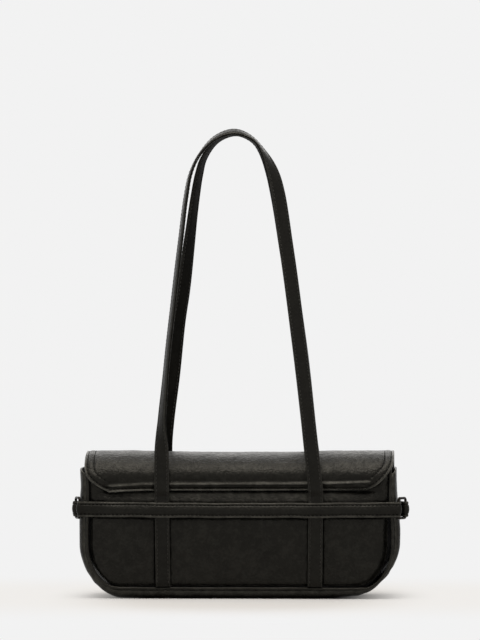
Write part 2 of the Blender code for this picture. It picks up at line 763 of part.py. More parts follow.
def handle_frames(side, route, left_turns, right_turns):
    """Centre, width direction and face direction of the strap along its whole route."""
    knots = [(STRAP_X * x, PIVOT_HEIGHT + HANDLE_RISE * share) for x, share in route]
    fine = spline_through(knots, HANDLE_STATION_STEP)
    climb = SHOULDER_HEIGHT + HANDLE_LEAN_BEND / 2
    flat = [p for k, p in enumerate(fine) if p.y < climb or k % HANDLE_UPPER_STRIDE == 0]
    top = max(range(len(flat)), key=lambda k: flat[k].y)
    line = [Vector((p.x, side * handle_depth(p.y), p.y)) for p in flat]
    frames = []
    for k, centre in enumerate(line):
        along = (line[min(k + 1, len(line) - 1)] - line[max(k - 1, 0)]).normalized()
        if k in (0, len(line) - 1):
            along = Vector((0, 0, 1 if k == 0 else -1))
        turn = turn_at(centre.z, left_turns if k <= top else right_turns)
        inward = Vector((along.z, 0, -along.x)).normalized()
        outward = inward.cross(along) * -side
        width = inward * math.cos(turn) + outward * math.sin(turn)
        frames.append((centre, width, width.cross(along) * -side))
    return frames


def strap_layer(name, frames, low, high, look, origin):
    """One layer of a strap between two offsets from its middle, with a rounded lower end."""
    sections = []
    for angle in STRAP_END_TURNS:
        turn = math.radians(angle)
        drop = Vector((0, 0, -STRAP_HALF * math.sin(turn)))
        reach = STRAP_HALF * math.cos(turn)
        sections.append((drop, max(low, -reach), min(high, reach)))
    start = [(frames[0], *section) for section in sections]
    finish = [(frames[-1], *section) for section in reversed(sections)]
    middle = [(frame, Vector((0, 0, 0)), low, high) for frame in frames]
    rings = []
    for (centre, width, face), drop, inner, outer in start + middle + finish:
        reach = width * STRAP_HALF_WIDTH
        base = centre + drop
        corners = [(-1, inner), (1, inner), (1, outer), (-1, outer)]
        rings.append([tuple(base + reach * sign + face * offset) for sign, offset in corners])
    mesh = loft(name, rings)
    shape = bmesh.new()
    shape.from_mesh(mesh)
    split_alike(shape, rings)
    shape.to_mesh(mesh)
    shape.free()
    return link(name, mesh, look, origin)


def split_alike(shape, rings):
    """Splits each twisted face from the same corner, so that two layers never cross."""
    shape.verts.ensure_lookup_table()
    pairs = []
    for k in range(len(rings) - 1):
        first = 4 * k
        pairs.append((first, first + 5))
        pairs.append((first + 3, first + 6))
        pairs.append((first + 1, first + 6))
        pairs.append((first, first + 7))
    for a, b in pairs:
        bmesh.ops.connect_verts(shape, verts=[shape.verts[a], shape.verts[b]])


def handle(name, side, route, left_turns, right_turns, outer_look, backing_look):
    frames = handle_frames(side, route, left_turns, right_turns)
    origin = (0, side * ANCHOR_LINE, PIVOT_HEIGHT)
    split = STRAP_HALF - STRAP_OUTER_LEATHER
    backing = (-STRAP_HALF, split - CLEARANCE)
    strap_layer(name + "_strap", frames, split, STRAP_HALF, outer_look, origin)
    strap_layer(name + "_backing", frames, *backing, backing_look, origin)


def build():
    clear_scene()
    leather = material("black_leather", (0.012, 0.012, 0.010), 0.48)
    leather_trim = material("black_leather_trim", (0.015, 0.015, 0.013), 0.42)
    cloth = material("black_lining_cloth", (0.018, 0.018, 0.018), 0.85)
    board = material("fibre_board", (0.16, 0.13, 0.09), 0.80)
    metal = material("gunmetal", (0.09, 0.085, 0.08), 0.32, 1.0)
    magnet = material("snap_metal", (0.55, 0.55, 0.53), 0.28, 1.0)

    panel("back_panel", -1, leather)
    front_panel = panel("front_panel", 1, leather)
    stiffener("back_stiffener", -1, board)
    front_stiffener = stiffener("front_stiffener", 1, board)
    gusset(leather)
    piping("back_piping", -1, leather_trim)
    piping("front_piping", 1, leather_trim)
    lining(cloth)
    base_board(board)
    inner_pocket(cloth)

    yoke_piece("back_yoke", FLAP_OUTER, FLAP_INNER, leather)
    yoke_piece("back_yoke_lining", FLAP_LINING_OUTER, FLAP_LINING_INNER, cloth)
    flap = flap_piece("flap", FLAP_OUTER, FLAP_INNER, leather)
    flap_lining = flap_piece("flap_lining", FLAP_LINING_OUTER, FLAP_LINING_INNER, cloth)
    snap(front_panel, front_stiffener, flap, flap_lining, magnet)

    back_belt(leather_trim)
    front_belt(leather_trim)
    ring("left_ring", -1, metal)
    ring("right_ring", 1, metal)

    strap_anchor("back_left_strap_anchor", -1, -STRAP_X, leather_trim)
    strap_anchor("back_right_strap_anchor", -1, STRAP_X, leather_trim)
    strap_anchor("front_left_strap_anchor", 1, -STRAP_X, leather_trim)
    strap_anchor("front_right_strap_anchor", 1, STRAP_X, leather_trim)
    back = (BACK_HANDLE_ROUTE, BACK_LEFT_TURN, BACK_RIGHT_TURN)
    front = (FRONT_HANDLE_ROUTE, FRONT_LEFT_TURN, FRONT_RIGHT_TURN)
    handle("back_handle", -1, *back, leather_trim, leather)
    handle("front_handle", 1, *front, leather_trim, leather)


build()
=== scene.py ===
"""Looks of the black leather shoulder bag, seen from its back: leather, stitching, metal and studio.

Metres, +Z up, X along the bag, -Y out of the back. The sizes are those of the bag's solids.
"""

import math

import bmesh
import bpy
import numpy as np
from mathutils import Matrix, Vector
from mathutils.geometry import delaunay_2d_cdt
from mathutils.kdtree import KDTree


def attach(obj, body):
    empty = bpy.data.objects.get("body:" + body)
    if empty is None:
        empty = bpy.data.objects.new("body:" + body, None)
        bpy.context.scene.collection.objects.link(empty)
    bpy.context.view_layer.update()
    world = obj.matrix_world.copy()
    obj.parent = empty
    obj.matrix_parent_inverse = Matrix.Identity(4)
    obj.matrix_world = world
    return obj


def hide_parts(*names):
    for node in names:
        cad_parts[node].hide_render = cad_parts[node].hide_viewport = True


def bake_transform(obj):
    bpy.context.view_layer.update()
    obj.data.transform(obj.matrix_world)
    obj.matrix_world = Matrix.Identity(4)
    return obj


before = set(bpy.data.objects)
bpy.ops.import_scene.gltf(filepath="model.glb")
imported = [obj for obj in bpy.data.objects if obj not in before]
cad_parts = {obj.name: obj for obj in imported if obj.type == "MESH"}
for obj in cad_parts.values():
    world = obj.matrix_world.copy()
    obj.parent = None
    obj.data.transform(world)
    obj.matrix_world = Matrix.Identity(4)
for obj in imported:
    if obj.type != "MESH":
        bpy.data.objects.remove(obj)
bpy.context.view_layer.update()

# Body
SEAM_HALF_LENGTH = 0.1415
SEAM_HEIGHT = 0.0114
SEAM_CORNER_X = 0.0300
SEAM_CORNER_Z = 0.0400
PANEL_FACE = 0.0420
PANEL_THICKNESS = 0.0020
PANEL_VISIBLE_TOP = 0.1166
PANEL_GAP = {-1: 0.0009, 1: -0.0004}  # back, where it shows, and front
BOARD_LINE = 0.03915
BOARD_THICKNESS = 0.0010
BOARD_INSET = 0.0048
BOARD_TOP = 0.1118
SHOULDER_HEIGHT = 0.1115
PIPING_RADIUS = 0.0014
PIPING_RISE = 0.0018
PIPING_OUT = 0.0006
PIPING_TOP = 0.1222
GUSSET_THICKNESS = 0.0022
GUSSET_HALF_WIDTH = 0.0398
GUSSET_FLAT_HALF_WIDTH = 0.0240
GUSSET_EDGE_RISE = 0.0030
GUSSET_SIDE_RISE = 0.0100
GUSSET_TOP = 0.1235
GUSSET_EDGE_TOP = 0.1186
PUFF_POWER = 2.7
LINING_TOP = 0.1120
LINING_HALF_WIDTH = 0.0383
LINING_THICKNESS = 0.0012
LINING_RISE = 0.0070
LINING_EDGE_RISE = 0.0008
LINING_CORNER = 0.0160
LINING_CORNER_POWER = 1.34
LINING_RIPPLE = 0.0011
POCKET_HALF_LENGTH = 0.0750
POCKET_BOTTOM = 0.0340
POCKET_TOP = 0.0960
POCKET_CORNER = 0.0080

# Yoke and flap. Outlines are in x and height.
ARCH_HALF_LENGTH = 0.1470
ARCH_RISE = 0.0280
FLAP_OUTER = 0.0446
FLAP_LEATHER = 0.0014
FLAP_LINING_OUTER = 0.0429
FLAP_LINING = 0.0006
YOKE_EDGE = 0.1020
FLAP_EDGE = 0.0940
NOTCH_INNER = 0.0530
NOTCH_OUTER = 0.0825
NOTCH_TOP = 0.1260
NOTCH_CORNER = 0.0100
YOKE_LEFT = [
    (-0.1470, 0.1330), (-0.1468, 0.1260), (-0.1454, 0.1180), (-0.1420, 0.1125), (-0.1345, 0.1064),
    (-0.1228, 0.1000),
]
YOKE_BOTTOM = [
    (-0.1228, 0.1000), (-0.1120, 0.1009), (-0.0900, 0.1018), (0.0, 0.1020), (0.0800, 0.1025),
    (0.1130, 0.1030), (0.1205, 0.1036),
]
YOKE_RIGHT = [
    (0.1205, 0.1036), (0.1265, 0.1054), (0.1335, 0.1100), (0.1400, 0.1168), (0.1447, 0.1240),
    (0.1467, 0.1300), (0.1470, 0.1340),
]
STITCH_ROW = 0.0031
SECOND_ROW = 0.0090
YOKE_CREASE = -0.0372

# Belts, rings and handles
BELT_CENTRE = 0.0848
BELT_HALF_HEIGHT = 0.0073
BELT_LAYER = 0.0009
BELT_LINE = 0.0432
BELT_OVER_STRAP = 0.0461
BELT_SIDE_X = 0.1527
BELT_LIFT_RUN = 0.0200
BELT_STITCH_ROW = 0.0047
BELT_TURNED_BACK = 0.0160
BELT_END = 0.0045
RING_WIRE = 0.00125
RING_NEAR_X = 0.1510
RING_FAR_X = {-1: 0.1552, 1: 0.1576}
RING_LIFT = 0.0012
RING_FAR_Y = -0.0332
RING_CORNER = 0.0024
STRAP_X = 0.0728
STRAP_HALF_WIDTH = 0.0070
STRAP_HALF = 0.0013
STRAP_STITCH_ROW = 0.0049
# How strongly the strap's edges are painted paler: partly rubbed wear, partly painted highlight.
STRAP_WEAR_AND_HIGHLIGHT = 0.30
ANCHOR_LINE = 0.0436
STRAP_LINE = 0.0467
PIVOT_HEIGHT = 0.093624
HANDLE_RISE = 0.3504
HANDLE_APEX_DEPTH = 0.0075
HANDLE_LEAN_BEND = 0.0300
STRAP_STEP_START = 0.0966
STRAP_STEP_RUN = 0.0070

# Routes are in half widths between the straps and shares of the handle's height. Turns are in
# degrees at such a share, up the left side and down the right one.
BACK_ROUTE = [
    (-1.0, 0.0), (-1.0, 0.024), (-1.004, 0.132), (-1.006, 0.205), (-0.955, 0.339),
    (-0.848, 0.568), (-0.768, 0.711), (-0.711, 0.817), (-0.648, 0.886), (-0.527, 0.938),
    (-0.320, 0.983), (-0.075, 0.9995), (0.155, 0.981), (0.305, 0.944), (0.452, 0.874),
    (0.616, 0.675), (0.792, 0.404), (0.945, 0.132), (1.0, 0.024), (1.0, 0.0),
]
FRONT_ROUTE = [
    (-1.0, 0.0), (-1.0, 0.024), (-1.026, 0.132), (-1.000, 0.205), (-0.915, 0.339),
    (-0.833, 0.486), (-0.770, 0.568), (-0.679, 0.711), (-0.612, 0.817), (-0.553, 0.886),
    (-0.487, 0.930), (-0.290, 0.982), (-0.060, 0.9985), (0.137, 0.981), (0.279, 0.943),
    (0.419, 0.874), (0.594, 0.675), (0.778, 0.404), (0.920, 0.132), (1.0, 0.024), (1.0, 0.0),
]
BACK_TURNS = (
    [
        (0.09, 0), (0.138, 18), (0.17, 40), (0.21, 59), (0.34, 71), (0.72, 75), (0.84, 78),
        (0.90, 84), (0.93, 88), (0.965, 80), (1.0, 70),
    ],
    [
        (0.07, 0), (0.20, 18), (0.67, 14), (0.81, 20), (0.883, 36), (0.921, 58), (0.949, 77),
        (0.967, 87), (0.985, 80), (1.0, 70),
    ],
)
FRONT_TURNS = (
    [
        (0.25, 0), (0.47, 24), (0.60, 32), (0.68, 42), (0.75, 53), (0.85, 61), (0.90, 66),
        (0.935, 75), (0.965, 79), (1.0, 70),
    ],
    [
        (0.27, 0), (0.47, 20), (0.67, 26), (0.85, 34), (0.90, 50), (0.949, 76), (0.967, 84),
        (1.0, 70),
    ],
)
TURN_BLUR = 0.0060

# Magnetic snap: height, then (radius, distance outwards) in mm
SNAP_HEIGHT = 0.1035
SOCKET = [
    (0.2, -1.9), (6.6, -1.9), (6.95, -1.6), (7.0, -0.4), (6.7, 0.0), (5.9, 0.1), (5.3, -0.1),
    (4.9, -0.6), (2.4, -0.7), (2.1, -1.2), (0.2, -1.25),
]
STUD = [
    (0.2, -0.55), (1.6, -0.55), (1.9, -0.3), (4.6, -0.25), (5.2, 0.0), (5.9, 0.1), (6.0, 0.35),
    (5.8, 0.55), (0.2, 0.55),
]
PLATE = [(0.2, -0.28), (8.2, -0.28), (8.45, 0.0), (8.2, 0.28), (4.0, 0.22), (0.2, 0.22)]

# Camera, set to the photograph's frame of 480 by 640
CAMERA_DISTANCE = 4.0
CAMERA_YAW = 2.2
CAMERA_ELEVATION = -0.28
CAMERA_TARGET = (-0.0005, 0.0, 0.2641)
METRES_PER_PIXEL = 0.0009565
FRAME_HEIGHT = 640
SENSOR = 36.0

# Studio. Reaches are a stretch along X, and where a change starts and ends.
BACKDROP = (0.888, 0.888, 0.888)
# Near the bag the floor is painted darker and warmer, a painted shadow, and the glow it runs out
# into is tinted warmer there.
PAINTED_SHADOW_BACKDROP = (0.870, 0.850, 0.825)
FLOOR = (0.800, 0.853, 0.948)
PAINTED_SHADOW_FLOOR = (0.715, 0.722, 0.742)
FLOOR_REACH = 12.0
PAINTED_SHADOW_REACH = (0.5, 0.12, 0.38)
SHADOW_REACH = (2.05, 0.18, 0.40)
HORIZON_LIGHT = (0.17, 0.15, 0.125)
ZENITH_LIGHT = (0.35, 0.308, 0.256)
LAMP_COLOUR = (1.0, 0.965, 0.905)
BACK_LAMP_COLOUR = (1.0, 0.975, 0.94)
LAMPS = (
    ("overhead_softbox", (-0.08, -0.40, 1.72), (0, -0.2, 0.1), (1.0, 1.35), 26.5, LAMP_COLOUR),
    ("back_softbox", (0.02, 1.70, 1.08), (0, 0, 0.06), (2.5, 1.1), 11, BACK_LAMP_COLOUR),
)

# Leather and thread
SPECULAR_TINT = (1.0, 0.95, 0.84, 1)
# Width of the band along a sheet's edge that is painted paler: partly rubbed wear, partly painted
# highlight.
WEAR_AND_HIGHLIGHT_WIDTH = 0.0011
STITCH_PITCH = 0.0038
STITCH_LENGTH = 0.0026
STITCH_RADIUS = 0.00036
STITCH_SINK = 0.00016


# Shader nodes


def node_of(tree, kind, **values):
    node = tree.nodes.new(kind)
    for name, value in values.items():
        if name in node.inputs:
            node.inputs[name].default_value = value
        else:
            setattr(node, name, value)
    return node


def mapped(tree, place, kind, **values):
    """A node that reads these coordinates."""
    node = node_of(tree, kind, **values)
    tree.links.new(place, node.inputs["Vector"])
    return node


def clouds(tree, place, scale, detail, **values):
    kind = "ShaderNodeTexNoise"
    return mapped(tree, place, kind, Scale=scale, Detail=detail, **values).outputs["Fac"]


def ramp(tree, source, low, high, first, last, kind="LINEAR"):
    """Maps a value from one range to another, held at both ends."""
    node = node_of(tree, "ShaderNodeMapRange", interpolation_type=kind)
    for name, value in zip(("From Min", "From Max", "To Min", "To Max"), (low, high, first, last)):
        node.inputs[name].default_value = value
    tree.links.new(source, node.inputs["Value"])
    return node.outputs["Result"]


def blend_colour(tree, factor, first, last):
    node = node_of(tree, "ShaderNodeMix", data_type="RGBA")
    tree.links.new(factor, node.inputs["Factor"])
    for socket, value in ((node.inputs["A"], first), (node.inputs["B"], last)):
        if hasattr(value, "links"):
            tree.links.new(value, socket)
        else:
            socket.default_value = (*value, 1)
    return node.outputs["Result"]


def add(tree, *terms):
    """The sum of sockets, each with a weight."""
    total = None
    for source, weight in terms:
        node = node_of(tree, "ShaderNodeMath", operation="MULTIPLY_ADD")
        tree.links.new(source, node.inputs[0])
        node.inputs[1].default_value = weight
        node.inputs[2].default_value = 0.0
        if total is not None:
            tree.links.new(total, node.inputs[2])
        total = node.outputs[0]
    return total


def mix_output(tree, share, first, last, kind):
    """Sends a mix of two shaders to the output."""
    mix = node_of(tree, "ShaderNodeMixShader")
    tree.links.new(share, mix.inputs["Fac"])
    tree.links.new(first.outputs[0], mix.inputs[1])
    tree.links.new(last.outputs[0], mix.inputs[2])
    tree.links.new(mix.outputs[0], node_of(tree, kind).inputs["Surface"])


# Camera and studio


def make_camera():
    data = bpy.data.cameras.new("photo_camera")
    camera = bpy.data.objects.new("photo_camera", data)
    bpy.context.scene.collection.objects.link(camera)
    yaw, rise = math.radians(CAMERA_YAW), math.radians(CAMERA_ELEVATION)
    level = math.cos(rise)
    back = Vector((math.sin(yaw) * level, -math.cos(yaw) * level, math.sin(rise)))
    data.sensor_width = SENSOR
    data.lens = SENSOR * CAMERA_DISTANCE / (METRES_PER_PIXEL * FRAME_HEIGHT)
    data.clip_end = 60
    camera.location = Vector(CAMERA_TARGET) + back * CAMERA_DISTANCE
    camera.rotation_mode = "QUATERNION"
    camera.rotation_quaternion = (-back).to_track_quat("-Z", "Y")
    bpy.context.scene.camera = camera


def area_light(name, place, aim, size, power, colour):
    data = bpy.data.lights.new(name, "AREA")
    data.shape = "RECTANGLE"
    data.size, data.size_y = size
    data.energy = power
    data.color = colour
    light = bpy.data.objects.new(name, data)
    light.location = place
    light.rotation_mode = "QUATERNION"
    light.rotation_quaternion = (Vector(aim) - Vector(place)).to_track_quat("-Z", "Y")
    bpy.context.scene.collection.objects.link(light)


def floor_look():
    """A floor that takes the shadow near the bag and runs out into the background's plain colour."""
    look = bpy.data.materials.new("pale_floor")
    look.use_nodes = True
    tree = look.node_tree
    tree.nodes.clear()
    place = node_of(tree, "ShaderNodeTexCoord").outputs["Object"]

    def away(stretch, low, high):
        flat = mapped(tree, place, "ShaderNodeMapping", Scale=(stretch, 1.0, 1.0)).outputs["Vector"]
        far = mapped(tree, flat, "ShaderNodeVectorMath", operation="LENGTH").outputs["Value"]
        return ramp(tree, far, low, high, 0.0, 1.0, "SMOOTHSTEP")

    lit = node_of(tree, "ShaderNodeBsdfDiffuse")
    plain = node_of(tree, "ShaderNodeEmission")
    # Near the bag the colours are painted darker and warmer: a painted shadow.
    share = away(*PAINTED_SHADOW_REACH)
    tree.links.new(blend_colour(tree, share, PAINTED_SHADOW_FLOOR, FLOOR), lit.inputs["Color"])
    tree.links.new(blend_colour(tree, share, PAINTED_SHADOW_BACKDROP, BACKDROP), plain.inputs["Color"])
    # The plain glow reaches in closer beside the bag's ends, which paints out part of the shadow
    # there.
    mix_output(tree, away(*SHADOW_REACH), lit, plain, "ShaderNodeOutputMaterial")
    return look


def make_world():
    """Light that is dimmer at the horizon. The camera and reflections see a plain colour."""
    world = bpy.data.worlds.new("studio")
    bpy.context.scene.world = world
    world.use_nodes = True
    tree = world.node_tree
    tree.nodes.clear()
    lit = node_of(tree, "ShaderNodeBackground")
    seen = node_of(tree, "ShaderNodeBackground", Color=(*BACKDROP, 1))
    place = node_of(tree, "ShaderNodeTexCoord").outputs["Generated"]
    height = mapped(tree, place, "ShaderNodeSeparateXYZ").outputs["Z"]
    height = ramp(tree, height, 0.0, 0.75, 0.0, 1.0)
    tree.links.new(blend_colour(tree, height, HORIZON_LIGHT, ZENITH_LIGHT), lit.inputs["Color"])
    rays = node_of(tree, "ShaderNodeLightPath").outputs
    kinds = ("Is Camera Ray", "Is Glossy Ray", "Is Transmission Ray")
    share = add(tree, *((rays[kind], 1.0) for kind in kinds))
    mix_output(tree, share, lit, seen, "ShaderNodeOutputWorld")


def make_studio():
    make_world()
    mesh = bpy.data.meshes.new("floor")
    reach = FLOOR_REACH
    corners = [(-reach, -reach, 0), (reach, -reach, 0), (reach, reach, 0), (-reach, reach, 0)]
    mesh.from_pydata(corners, [], [(0, 1, 2, 3)])
    floor = bpy.data.objects.new("floor", mesh)
    bpy.context.scene.collection.objects.link(floor)
    mesh.materials.append(floor_look())
    for lamp in LAMPS:
        area_light(*lamp)


# Materials


def start_look(name, **constants):
    """A new material, its tree and shader, and the coordinates of its textures."""
    look = bpy.data.materials.new(name)
    look.use_nodes = True
    tree = look.node_tree
    shader = tree.nodes["Principled BSDF"]
    for socket, value in constants.items():
        shader.inputs[socket.replace("_", " ")].default_value = value
    return look, tree, shader, node_of(tree, "ShaderNodeTexCoord").outputs["Object"]


def finish_look(tree, shader, colour, height, strength, distance):
    bump = node_of(tree, "ShaderNodeBump", Strength=strength, Distance=distance)
    tree.links.new(colour, shader.inputs["Base Color"])
    tree.links.new(height, bump.inputs["Height"])
    tree.links.new(bump.outputs[0], shader.inputs["Normal"])


def leather_look(name, dark, light, worn_and_lit, rough, grain, specular):
    """Black leather: pebbled grain, fine pores, cloudy colour, and edges, beads and some faces
    painted paler: partly rubbed wear, mostly painted highlight.
    """
    look, tree, shader, place = start_look(
        name, Specular_IOR_Level=specular, Specular_Tint=SPECULAR_TINT
    )
    cloud = clouds(tree, place, 38.0, 4.0, Roughness=0.6)
    pebble = mapped(
        tree, place, "ShaderNodeTexVoronoi", Scale=720.0, feature="SMOOTH_F1", Smoothness=0.7
    )
    crease = clouds(tree, place, 380.0, 3.0, Roughness=0.55, Distortion=0.3)
    pores = clouds(tree, place, 1900.0, 2.0)
    folds = clouds(tree, place, 150.0, 3.0, Roughness=0.5)
    # The edge attribute marks where the paler colour is painted: partly rubbed wear, mostly painted
    # highlight and painted light.
    edge = node_of(tree, "ShaderNodeAttribute", attribute_name="edge").outputs["Fac"]
    patchy = node_of(tree, "ShaderNodeMath", operation="MULTIPLY")
    tree.links.new(edge, patchy.inputs[0])
    tree.links.new(ramp(tree, folds, 0.35, 0.65, 0.45, 1.0), patchy.inputs[1])
    speckle = ramp(tree, add(tree, (crease, 0.5), (folds, 0.5)), 0.46, 0.60, 0.0, 1.0)
    rubbed_and_lit = add(tree, (patchy.outputs[0], 1.0), (speckle, 0.07 * grain))
    colour = blend_colour(tree, ramp(tree, cloud, 0.32, 0.70, 0, 1), dark, light)
    gloss = add(
        tree,
        (ramp(tree, cloud, 0.3, 0.7, rough + 0.04, rough - 0.04), 1.0),
        (ramp(tree, folds, 0.35, 0.65, 0.03, -0.03), 1.0),
        (edge, -0.12),
    )
    tree.links.new(gloss, shader.inputs["Roughness"])
    height = add(
        tree,
        (pebble.outputs["Distance"], -0.70 * grain),
        (ramp(tree, crease, 0.30, 0.70, 0, 1), 0.75 * grain),
        (folds, 1.1 * grain),
        (pores, 0.20 * grain),
    )
    finish_look(tree, shader, blend_colour(tree, rubbed_and_lit, colour, worn_and_lit), height, 1.0, 0.00036)
    return look


def cloth_look():
    """Plain woven black lining: crossed sets of threads, with slubs."""
    sheen = dict(Sheen_Weight=0.12, Sheen_Roughness=0.5)
    look, tree, shader, place = start_look(
        "black_lining", Roughness=0.86, Specular_IOR_Level=0.16, **sheen
    )
    threads = []
    for direction in ("X", "Z", "Y"):
        kind = "ShaderNodeTexWave"
        wave = mapped(tree, place, kind, bands_direction=direction, Scale=420.0, Distortion=1.2)
        threads.append((wave.outputs["Fac"], 0.33))
    weave = add(tree, *threads)
    mixed = add(tree, (weave, 0.6), (clouds(tree, place, 70.0, 4.0), 0.5))
    mixed = ramp(tree, mixed, 0.3, 0.9, 0, 1)
    colour = blend_colour(tree, mixed, (0.004, 0.004, 0.0045), (0.015, 0.015, 0.0155))
    finish_look(tree, shader, colour, weave, 0.8, 0.00018)
    return look


def thread_look(name, dark, light, specular):
    """Waxed thread with a twisted ply."""
    look, tree, shader, place = start_look(name, Roughness=0.66, Specular_IOR_Level=specular)
    ply = clouds(tree, place, 1400.0, 2.0)
    finish_look(tree, shader, blend_colour(tree, ply, dark, light), ply, 0.5, 0.0001)
    return look


def metal_look(name, dark, light, rough):
    """Plated metal with faint rubbing marks and a cloudy polish."""
    look, tree, shader, place = start_look(name, Metallic=1.0)
    cloud = ramp(tree, clouds(tree, place, 160.0, 5.0), 0.35, 0.65, 0, 1)
    rub_and_sheen = clouds(tree, place, 900.0, 3.0, Distortion=1.5)
    gloss = ramp(tree, rub_and_sheen, 0.3, 0.7, rough - 0.06, rough + 0.09)
    tree.links.new(gloss, shader.inputs["Roughness"])
    finish_look(tree, shader, blend_colour(tree, cloud, dark, light), rub_and_sheen, 0.25, 0.00005)
    return look


def board_look():
    """Bonded fibre board with flecks."""
    look, tree, shader, place = start_look("bonded_board", Roughness=0.85)
    fleck = clouds(tree, place, 500.0, 6.0, Roughness=0.7)
    share = ramp(tree, fleck, 0.35, 0.65, 0, 1)
    colour = blend_colour(tree, share, (0.09, 0.07, 0.045), (0.20, 0.165, 0.115))
    finish_look(tree, shader, colour, fleck, 0.4, 0.0001)
    return look


# Mesh helpers


def smooth(value):
    value = np.clip(value, 0.0, 1.0)
    return value * value * (3 - 2 * value)


def bell(value, centre, width):
    return np.exp(-(((value - centre) / width) ** 2))


def noise(x, y, size_x, size_y, seed):
    """Smooth noise from -1 to 1 over a plane, with features of these sizes."""
    table = np.random.default_rng(seed).uniform(-1, 1, (64, 64))
    u, v = x / size_x + 500.0, y / size_y + 500.0
    i, j = np.floor(u).astype(int), np.floor(v).astype(int)
    f, g = u - i, v - j
    f, g = f * f * f * (f * (6 * f - 15) + 10), g * g * g * (g * (6 * g - 15) + 10)
    a, b = table[i % 64, j % 64], table[(i + 1) % 64, j % 64]
    c, d = table[i % 64, (j + 1) % 64], table[(i + 1) % 64, (j + 1) % 64]
    return (a * (1 - f) + b * f) * (1 - g) + (c * (1 - f) + d * f) * g


def noise_along(line, size, seed):
    return noise(line, 0 * line, size, 1, seed)


def unit(vectors):
    return vectors / np.maximum(np.linalg.norm(vectors, axis=-1, keepdims=True), 1e-12)


def mesh_object(name, points, faces, look, edge=None):
    mesh = bpy.data.meshes.new(name)
    mesh.from_pydata(np.asarray(points).tolist(), [], faces)
    shape = bmesh.new()
    shape.from_mesh(mesh)
    bmesh.ops.recalc_face_normals(shape, faces=shape.faces)
    shape.to_mesh(mesh)
    shape.free()
    if edge is not None:
        mask = mesh.attributes.new("edge", "FLOAT", "POINT")
        mask.data.foreach_set("value", np.asarray(edge, np.float32))
    mesh.shade_smooth()
    mesh.materials.append(look)
    obj = bpy.data.objects.new(name, mesh)
    bpy.context.scene.collection.objects.link(obj)
    return obj


def divide(points, step, closed=True):
    """The same line with extra points, so that none are further apart than a step."""
    points = np.asarray(points, float)
    ends = np.roll(points, -1, 0) if closed else points[1:]
    starts = points if closed else points[:-1]
    line = []
    for a, b in zip(starts, ends):
        count = max(1, math.ceil(np.linalg.norm(b - a) / step - 1e-6))
        line += [a + (b - a) * k / count for k in range(count)]
    if not closed:
        line.append(points[-1])
    return np.array(line)


def arc_length(points):
    return np.concatenate([[0], np.cumsum(np.linalg.norm(np.diff(points, axis=0), axis=1))])


def between(a, b, low, high, now):
    return a * (high - now) / (high - low) + b * (now - low) / (high - low)


def spline(points, step):
    """A smooth line through given points, sampled about every step."""
    points = np.asarray(points, float)
    knots = np.vstack([2 * points[0] - points[1], points, 2 * points[-1] - points[-2]])
    gaps = np.sqrt(np.linalg.norm(np.diff(knots, axis=0), axis=1))
    times = np.concatenate([[0], np.cumsum(gaps)])
    line = []
    for k in range(1, len(knots) - 2):
        p, t = knots[k - 1 : k + 3], times[k - 1 : k + 3]
        count = max(1, round(np.linalg.norm(p[2] - p[1]) / step))
        for now in t[1] + (t[2] - t[1]) * np.arange(count) / count:
            a = [between(p[m], p[m + 1], t[m], t[m + 1], now) for m in range(3)]
            b = [between(a[m], a[m + 1], t[m], t[m + 2], now) for m in range(2)]
            line.append(between(b[0], b[1], t[1], t[2], now))
    line.append(knots[-2])
    return np.array(line)


def rounded(corners, steps=8):
    """An open line with rounded corners. Each corner is (x, z, radius)."""
    line = []
    for k, (x, z, radius) in enumerate(corners):
        here = np.array([x, z])
        if radius == 0 or k in (0, len(corners) - 1):
            line.append(here)
            continue
        before = unit(np.array(corners[k - 1][:2]) - here)
        after = unit(np.array(corners[k + 1][:2]) - here)
        half = math.acos(np.clip(before @ after, -1, 1)) / 2
        centre = here + unit(before + after) * radius / math.sin(half)
        start = here + before * radius / math.tan(half) - centre
        finish = here + after * radius / math.tan(half) - centre
        for step in range(steps + 1):
            share = step / steps
            line.append(centre + unit(start * (1 - share) + finish * share) * radius)
    return line


def edge_distance(points, outline):
    """Distance of each point to a closed outline."""
    starts, ends = outline, np.roll(outline, -1, 0)
    along = ends - starts
    length = np.maximum((along * along).sum(1), 1e-18)
    best = np.empty(len(points))
    for first in range(0, len(points), 4000):
        part = points[first : first + 4000, None, :] - starts[None]
        share = np.clip((part * along[None]).sum(2) / length[None], 0, 1)
        off = part - share[..., None] * along[None]
        best[first : first + 4000] = np.sqrt((off * off).sum(2).min(1))
    return best


def point_distance(points, others):
    """Distance of each point to the nearest of some others."""
    best = np.empty(len(points))
    for first in range(0, len(points), 4000):
        away = points[first : first + 4000, None] - others[None]
        best[first : first + 4000] = np.sqrt((away * away).sum(2).min(1))
    return best


def inside(points, outline):
    x, y = points[:, 0:1], points[:, 1:2]
    a, b = outline, np.roll(outline, -1, 0)
    crosses = (a[None, :, 1] > y) != (b[None, :, 1] > y)
    rise = np.where(np.abs(b[:, 1] - a[:, 1]) < 1e-15, 1e-15, b[:, 1] - a[:, 1])
    at = a[None, :, 0] + (y - a[None, :, 1]) * ((b[:, 0] - a[:, 0]) / rise)[None]
    return (crosses & (x < at)).sum(1) % 2 == 1


def inset(outline, distance):
    """Points of an outline moved inwards, without those that come too near another side."""
    along = unit(np.roll(outline, -1, 0) - np.roll(outline, 1, 0))
    moved = outline + np.stack([-along[:, 1], along[:, 0]], 1) * distance
    return moved[edge_distance(moved, outline) > distance * 0.97]


